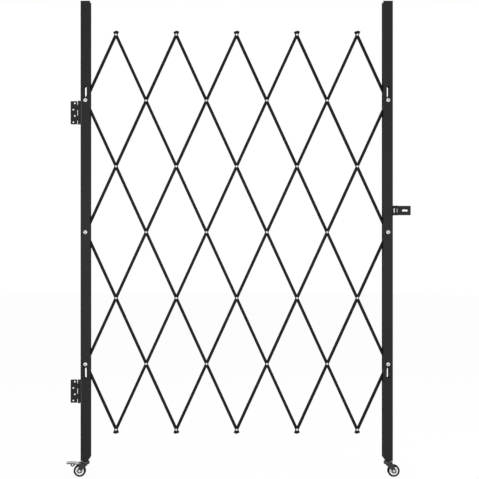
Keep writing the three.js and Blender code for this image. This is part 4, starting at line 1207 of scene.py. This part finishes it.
class MakeBrake(bpy.types.Operator):
    """Foot brake of the left caster: a pressed pedal with cheeks, loops, toe lip and shoe, and dark rims
    along its sides that paint the shade under them
    """

    bl_idname = "gate.make_brake"
    bl_label = "Foot brake"

    def execute(self, context):
        place = caster_place("left")
        self.plate(place)
        self.cheeks(place)
        self.pin(place)
        return {"FINISHED"}

    def plate(self, place):
        under = PEDAL_TOP - SHEET
        half = PEDAL_HALF
        flare = PEDAL_FLARE
        neck_end, neck = PEDAL_NECK
        rim = corners(
            (PEDAL_START, -neck),
            (neck_end, -neck, 3),
            (flare, -half, 3),
            (PEDAL_END, -half, 5.5),
            (PEDAL_END, half, 5.5),
            (flare, half, 3),
            (neck_end, neck, 3),
            (PEDAL_START, neck),
        )
        lip_half = half - 5
        lip = corners(
            (PEDAL_END, -lip_half, 0.8),
            (PEDAL_END, lip_half, 0.8),
            (PEDAL_END - SHEET, lip_half),
            (PEDAL_END - SHEET, -lip_half),
        )
        ear = arc(*PEDAL_PIVOT, EAR_RADIUS, math.pi, 0.5 * math.pi, 8)
        ear += [Vector((neck_end, PEDAL_TOP)), Vector((neck_end, PEDAL_PIVOT[1]))]
        bm = bmesh.new()
        prism(bm, rim, under, PEDAL_TOP, LAID)
        prism(bm, lip, under - 1.6, under + 0.4, LAID)
        for near, far in PEDAL_EARS:
            prism(bm, ear, near, far, FACING)
        low, high = -TREAD_HALF, TREAD_HALF
        for tread in TREADS:
            near, far = tread - 0.9, tread + 0.9
            rib = corners((near, low, 0.8), (far, low, 0.8), (far, high, 0.8), (near, high, 0.8))
            prism(bm, rib, PEDAL_TOP - 0.4, PEDAL_TOP + 0.4, LAID)
        bm.transform(place)
        put(bm, "pressed_pedal", "bright_zinc", "brake_pedal", ["brake_pedal"], 0.4 * MM, "pedal_zinc")

    def cheeks(self, place):
        under = PEDAL_TOP - SHEET
        bm = bmesh.new()
        cheek = arc(*PEDAL_PIVOT, EAR_RADIUS - 0.1, math.pi, 1.5 * math.pi, 8)
        cheek += [Vector((44, 52.6)), Vector((46.5, 54)), Vector((46.5, 55)), Vector((19.6, 55))]
        for near, far in PEDAL_EARS:
            prism(bm, cheek, near + 0.1, far - 0.1, FACING)
        # Painted shade: the rims along the plate's sides are dark to paint the shade under its edges; the
        # cheeks, loops and shoe are in the same darker zinc
        start, end = PEDAL_FLARE, PEDAL_END - 3
        low, high = under - 1.3, PEDAL_TOP + 0.4
        painted_shade_rim = corners((start, low, 1), (end, low, 1), (end, high, 1.4), (start, high, 1.4))
        for near, far in PAINTED_SHADE_RIMS:
            prism(bm, painted_shade_rim, near, far, FACING)
        reach = math.acos((under + 0.2 - LOOP[1]) / LOOP_RADIUS)
        loop = arc(*LOOP, LOOP_RADIUS, 0.5 * math.pi - reach, -1.5 * math.pi + reach, 24)
        for near, far in LOOP_SIDES:
            prism(bm, loop, near, far, FACING, [ring(*LOOP_HOLE)])
        near, far = SHOE
        shoe = corners((near, SHOE_LOW), (far, SHOE_LOW, 0.8), (far, under + 0.3), (near, under + 0.3))
        prism(bm, shoe, -SHOE_HALF, SHOE_HALF, FACING)
        bm.transform(place)
        put(bm, "pedal_cheeks_loops_and_painted_shade_rims", "dark_zinc", "brake_pedal", edge=0.3 * MM)

    def pin(self, place):
        end = PEDAL_EARS[1][1] + SEAT_GAP
        head = [(0, -end - 1.5), (2.2, -end - 1.3), (3.2, -end - 0.8), (3.5, -end), (2, -end)]
        bm = bmesh.new()
        turned(bm, with_far_end(head), at(PEDAL_PIVOT[0], 0, PEDAL_PIVOT[1], FACING), 24)
        bm.transform(place)
        put(bm, "headed_brake_pin", "dark_zinc", "left_fork", ["brake_pivot_pin"], 0.15 * MM)


class MakeStage(bpy.types.Operator):
    """Pale floor, soft lamps, white surroundings and the camera"""

    bl_idname = "gate.make_stage"
    bl_label = "Stage"

    # Where the middle of the view and the lens lie, in millimetres from the gate's middle and the floor
    VIEW_X = 11.9
    VIEW_HEIGHT = 982.4
    LENS_X = -95

    # Share of the floor that is plain white to the eye, so that the rest shows the gate's shadow
    FLOOR_GLOW = 0.9

    def execute(self, context):
        self.floor()
        self.world()
        self.lamp("right_strip_light", (3.4, -0.6, 1.2), 0.5, 2.4, 35)
        self.lamp("left_strip_light", (-3.6, -2.4, 1.2), 0.5, 2.4, 30)
        self.lamp("front_softbox", (0, -4.6, 0.95), 3.0, 1.8, 40)
        self.lamp("top_softbox", (0, -0.8, 4.4), 3.6, 3.6, 30)
        self.camera()
        context.scene.view_settings.view_transform = "Standard"
        return {"FINISHED"}

    def background_rays(self, tree):
        """1 where the eye, a mirror or a glass looks at the surroundings, 0 where they light something"""
        path = add(tree, "ShaderNodeLightPath")
        looks = add(
            tree,
            "ShaderNodeMath",
            {"operation": "MAXIMUM"},
            {0: path.outputs["Is Camera Ray"], 1: path.outputs["Is Glossy Ray"]},
        )
        either = add(
            tree,
            "ShaderNodeMath",
            {"operation": "MAXIMUM"},
            {0: looks.outputs[0], 1: path.outputs["Is Transmission Ray"]},
        )
        return either.outputs[0]

    def floor(self):
        """Smooth white floor that keeps a soft share of the gate's shadow"""
        bm = bmesh.new()
        bmesh.ops.create_circle(bm, cap_ends=True, radius=14, segments=96)
        mesh = bpy.data.meshes.new("studio_floor")
        bm.to_mesh(mesh)
        bm.free()
        material, tree = new_material("white_studio_floor")
        looks = self.background_rays(tree)
        share = add(tree, "ShaderNodeMath", {"operation": "MULTIPLY", 1: self.FLOOR_GLOW}, {0: looks})
        paint = add(tree, "ShaderNodeBsdfDiffuse", {"Color": linear(colours().floor)})
        glow = add(tree, "ShaderNodeEmission", {"Color": (1, 1, 1, 1), "Strength": 1.0})
        mixed = add(
            tree,
            "ShaderNodeMixShader",
            links={0: share.outputs[0], 1: paint.outputs[0], 2: glow.outputs[0]},
        )
        add(tree, "ShaderNodeOutputMaterial", links={"Surface": mixed.outputs[0]})
        mesh.materials.append(material)
        floor = bpy.data.objects.new("studio_floor", mesh)
        bpy.context.scene.collection.objects.link(floor)

    def world(self):
        """White all round for the eye and for reflections, and a plain level of light"""
        world = bpy.data.worlds.new("white_surroundings")
        world.use_nodes = True
        tree = world.node_tree
        tree.nodes.clear()
        strength = add(
            tree,
            "ShaderNodeMapRange",
            {"From Min": 0.0, "From Max": 1.0, "To Min": 0.8, "To Max": 1.0},
            {"Value": self.background_rays(tree)},
        )
        light = add(tree, "ShaderNodeBackground", {"Color": (1, 1, 1, 1)}, {"Strength": strength.outputs[0]})
        add(tree, "ShaderNodeOutputWorld", links={"Surface": light.outputs[0]})
        bpy.context.scene.world = world

    def lamp(self, name, place, width, height, power):
        light = bpy.data.lights.new(name, "AREA")
        light.shape = "RECTANGLE"
        light.size = width
        light.size_y = height
        light.energy = power
        lamp = bpy.data.objects.new(name, light)
        bpy.context.scene.collection.objects.link(lamp)
        lamp.location = place
        aim = Vector((0, 0, MIDDLE_HEIGHT * MM)) - lamp.location
        lamp.rotation_euler = aim.to_track_quat("-Z", "Y").to_euler()

    def camera(self):
        lens = bpy.data.cameras.new("photo_camera")
        lens.sensor_width = 36
        lens.lens = lens.sensor_width * sizes().camera_distance / sizes().view_width
        lens.clip_start = 0.1
        lens.clip_end = 100
        camera = bpy.data.objects.new("photo_camera", lens)
        bpy.context.scene.collection.objects.link(camera)
        lens.shift_x = (self.VIEW_X - self.LENS_X) * MM / sizes().view_width
        camera.location = GATE @ Vector((self.LENS_X, -sizes().camera_distance / MM, self.VIEW_HEIGHT))
        camera.rotation_euler = (math.pi / 2, 0, 0)
        bpy.context.scene.camera = camera


OPERATORS = (
    MakeStage,
    DressPosts,
    MakeBars,
    MakeRivets,
    MakePostPins,
    MakeHinges,
    MakeHasp,
    MakeCasters,
    MakeBrake,
)


class GatePanel(bpy.types.Panel):
    """Lists the pieces of the gate and its main sizes and colours"""

    bl_idname = "VIEW3D_PT_gate"
    bl_label = "Folding gate"
    bl_space_type = "VIEW_3D"
    bl_region_type = "UI"
    bl_category = "Gate"

    def draw(self, context):
        for operator in OPERATORS:
            self.layout.operator(operator.bl_idname)
        for group in (context.scene.gate_sizes, context.scene.gate_colours):
            box_layout = self.layout.box()
            for name in group.__annotations__:
                box_layout.prop(group, name)


CLASSES = (GateSizes, GateColours, *OPERATORS, GatePanel)


def register():
    for item in CLASSES:
        bpy.utils.register_class(item)
    bpy.types.Scene.gate_sizes = bpy.props.PointerProperty(type=GateSizes)
    bpy.types.Scene.gate_colours = bpy.props.PointerProperty(type=GateColours)


def unregister():
    del bpy.types.Scene.gate_colours
    del bpy.types.Scene.gate_sizes
    for item in reversed(CLASSES):
        bpy.utils.unregister_class(item)


def main():
    register()
    bpy.ops.gate.make_stage()
    bpy.ops.gate.dress_posts()
    bpy.ops.gate.make_bars()
    bpy.ops.gate.make_rivets()
    bpy.ops.gate.make_post_pins()
    bpy.ops.gate.make_hinges()
    bpy.ops.gate.make_hasp()
    bpy.ops.gate.make_casters()
    bpy.ops.gate.make_brake()


if __name__ == "__main__":
    main()
